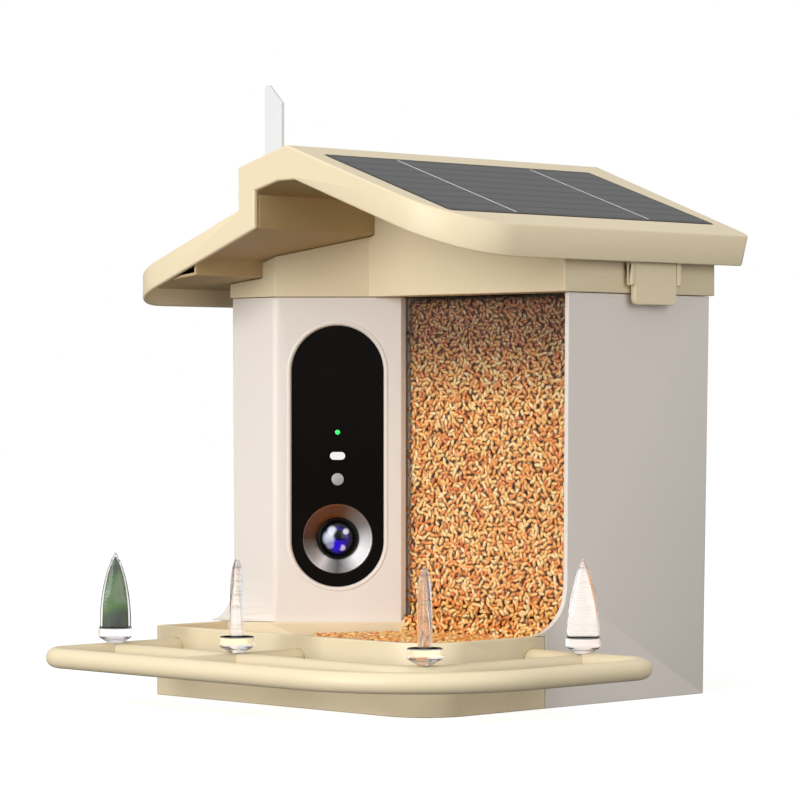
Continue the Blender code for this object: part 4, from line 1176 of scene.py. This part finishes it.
margin = 1.4 * MM
gap_foot = 37.5 * MM
window_turn = Matrix.Rotation(math.radians(90), 4, "X")
window_corner = Vector((fill_low.x + 0.2 * MM, pane_back + 1.5 * MM, gap_foot))
WINDOW = Matrix.Translation(window_corner) @ window_turn
field_width = fill_high.x - fill_low.x - margin
field_height = fill_high.z - gap_foot - 1.2 * MM
front = (0, -1, 0)
behind_pane = field(WINDOW, field_width, field_height)
pour("wheat_behind_pane", behind_pane, front, stands_for=["seed_fill"])
deeper = field(WINDOW, field_width, field_height, layer=1)
pour("wheat_deeper", deeper, front, painted_light_share=second_layer_painted_light)
TOP = Matrix.Translation((fill_low.x + margin, fill_low.y + 3 * MM, fill_high.z - 1.5 * MM))
on_top = field(TOP, field_width, fill_high.y - fill_low.y - 5 * MM)
pour("wheat_on_top", on_top, up)

core = bmesh.new()
core.from_mesh(frame["nodes"]["seed_fill"].data)
bmesh.ops.remove_doubles(core, verts=core.verts, dist=weld)
near_pane = [point for point in core.verts if point.co.y < fill_low.y + 6 * MM]
bmesh.ops.translate(core, vec=(0, 2.4 * MM, 0), verts=near_pane)
top = [point for point in core.verts if point.co.z > fill_high.z - 1 * MM]
bmesh.ops.translate(core, vec=(0, 0, -3 * MM), verts=top)
# The core's dark finish is painted shade for the gaps between grains.
dress("wheat_core", core, "seed_fill", stands_for=(), finish=painted_shade_between_grains("painted shade between grains"))

# %% [markdown]
# The wheat runs out of the gap under the pane: a steep slope right at the gap, then a nearly flat
# bed that ends in a slope of its own and a thin scatter on the tray's floor. A grain is left out
# where its point isn't in the tray's pocket, which has one round corner and is narrowed by the
# camera's column.

# %% Wheat in the tray
tray_rim = 4.0 * MM
tray_floor = 4.0 * MM
pocket_gap = 2.5 * MM
pocket_left = tray_low.x + tray_rim + pocket_gap
pocket_right = tray_high.x - tray_rim - 2 * pocket_gap
pocket_front = tray_low.y + tray_rim + pocket_gap
pocket_bend = 26.0 * MM
sill_y = -44.0 * MM
column_y = -96.0 * MM
wall_offset = 30.5 * MM
pile_top = 30.5 * MM
gentle_fall = 0.035
gentle_reach = 44.0 * MM
steep_fall = 0.5
pile_foot = tray_floor + 1.2 * MM


def pile_height(x, y):
    """The pile's height at a point, or None outside the pocket."""
    from_face = (x - wall_offset - y) / math.sqrt(2)
    from_column = max(from_face, column_y - y)
    if min(sill_y - y, from_column - pocket_gap, x - pocket_left, pocket_right - x, y - pocket_front) < 0:
        return None
    past_bend = max(x - tray_high.x + pocket_bend, 0.0), max(tray_low.y + pocket_bend - y, 0.0)
    if math.hypot(*past_bend) > pocket_bend - tray_rim - pocket_gap:
        return None
    away = math.hypot(max(fill_low.x - x, 0.0), sill_y - y)
    beyond = max(away - gentle_reach, 0.0)
    return max(pile_top - gentle_fall * away - steep_fall * beyond, pile_foot)


def pile_places(layer):
    places = []
    pitch_x, pitch_y = grain_pitch
    for row in range(round((sill_y - pocket_front) / pitch_y) + 1):
        for column in range(round((pocket_right - pocket_left) / pitch_x) + 1):
            x = pocket_left + (column + dice.uniform(-0.4, 0.4)) * pitch_x
            y = pocket_front + (row + dice.uniform(-0.4, 0.4)) * pitch_y
            height = pile_height(x, y)
            if height is None or (height == pile_foot and dice.random() > 0.45):
                continue
            z = max(height - layer * layer_step, pile_foot) + dice.uniform(-0.4, 0.4) * MM
            places.append(tossed(Matrix.Translation((x, y, z)), math.pi, 0.3))
    return places


pour("wheat_in_tray", pile_places(0), up)
pour("wheat_under_it", pile_places(1), up, painted_light_share=second_layer_painted_light)
chute = Matrix.Translation((fill_low.x + 4 * MM, sill_y - 5.5 * MM, 28.5 * MM))
CHUTE = chute @ Matrix.Rotation(math.radians(68), 4, "X")
chute_height = 12.5 * MM
for layer, painted_light_share in ((0, 1.0), (1, second_layer_painted_light)):
    leaning = field(CHUTE, field_width - 4 * MM, chute_height, layer)
    pour(f"wheat_at_gap_{layer}", leaning, front, painted_light_share=painted_light_share)

# %% [markdown]
# ## The clear pane
# The pane keeps the CAD node's shape, and only its finish differs from the spikes' thick plastic.

# %% Finish of the pane
pane = tone(250, 250, 250)
hazy = (pane, scaled(pane, 0.96))
thin = {"Specular IOR Level": 0.08, "Alpha": 0.015}
pane_finish = speckled("clear pane", hazy, (60, 4), 0.03, 0.03, thin)
frame["nodes"]["seed_window"].material_slots[0].material = pane_finish

# %% [markdown]
# ## Floor, light and camera
# The photograph is a studio picture on white. For camera rays the floor also emits a little, so
# that it reads as white while the object's shadow stays. To other rays it is darker, so that it
# throws little light up under the roof. The world is white to camera and glass rays. To all others
# it is grey at the sides and bright overhead, as under a large softbox.

# %% Floor
floor_bounce = 0.22


def seen_directly(recipe):
    """One for rays from the camera, also through glass, and zero for the others."""
    path = recipe.node("ShaderNodeLightPath").socket.node
    rays = [Value(recipe, path.outputs[kind]) for kind in ("Is Camera Ray", "Transmission Depth")]
    return recipe.maths("MINIMUM", rays[0] + rays[1], 1.0)


def floor_finish():
    recipe = Recipe("studio floor")
    shown = recipe.blend(recipe.noise(3), (0.8, 0.8, 0.8), (0.82, 0.82, 0.82))
    direct = seen_directly(recipe)
    return recipe.surface(
        {
            "Base Color": recipe.blend(direct, (floor_bounce,) * 3, shown),
            "Roughness": 0.9,
            "Specular IOR Level": 0.0,
            "Emission Color": (1, 1, 1),
            "Emission Strength": direct * 0.55,
        }
    )


floor_shape = bmesh.new()
bmesh.ops.create_grid(floor_shape, x_segments=1, y_segments=1, size=6)
floor = put_in_scene("floor", mesh_of("floor", floor_shape))
floor.data.materials.append(floor_finish())

# %% World
side_fill = 0.3
top_fill = 0.68
side_mirror = 0.4
top_mirror = 1.2
studio = Recipe("studio", bpy.data.worlds)
bpy.context.scene.world = studio.owner
mirrored = Value(studio, studio.node("ShaderNodeLightPath").socket.node.outputs["Is Glossy Ray"])
_, _, rise = studio.split(studio.node("ShaderNodeTexCoord", output="Generated"))
rise = studio.maths("MAXIMUM", rise, 0.0)
fill = studio.blend(rise, (side_fill,) * 3, (top_fill,) * 3)
mirror = studio.blend(rise, (side_mirror,) * 3, (top_mirror,) * 3)
shown = studio.blend(seen_directly(studio), studio.blend(mirrored, fill, mirror), (1, 1, 1))
light = studio.node("ShaderNodeBackground", sockets={"Color": shown, "Strength": 1.0})
studio.finish("ShaderNodeOutputWorld", light)

# %% [markdown]
# A large soft lamp in front, a little above the house, lights the gable side, the camera's face and
# the wheat. A larger and weaker one on the right lights the wall there evenly.

# %% Lamps
half_height = 0.15


def soft_lamp(name, towards, distance, size, level):
    """A square lamp in a direction from the object, at a level where 1 alone lights fully."""
    data = bpy.data.lights.new(name, "AREA")
    data.size = size
    data.energy = math.pi ** 2 * level * distance ** 2
    lamp_object = put_in_scene(name, data)
    direction = Vector(towards).normalized()
    lamp_object.location = direction * distance + Vector((0, 0, half_height))
    lamp_object.rotation_euler = direction.to_track_quat("Z", "Y").to_euler()


soft_lamp("key", (0.03, -0.97, 0.2), 2.6, 1.6, 0.8)
soft_lamp("right", (0.98, -0.12, 0.16), 2.6, 2.2, 0.43)

# %% [markdown]
# The camera stands level with the middle of the house, 45 degrees round its right front corner,
# far away with a long lens, so that upright edges stay nearly parallel.

# %% Camera
camera_data = bpy.data.cameras.new("camera")
camera_data.sensor_width = 36
camera_data.lens = 151.8
camera_data.clip_start = 0.1
camera_data.clip_end = 50
camera = put_in_scene("camera", camera_data)
camera.location = (1.2036, -1.2720, 0.1523)
look_down = math.radians(0.1)
view_line = Vector((-1, 1, -math.sqrt(2) * math.tan(look_down)))
camera.rotation_euler = view_line.to_track_quat("-Z", "Y").to_euler()
bpy.context.scene.camera = camera
bpy.context.scene.view_settings.view_transform = "Standard"
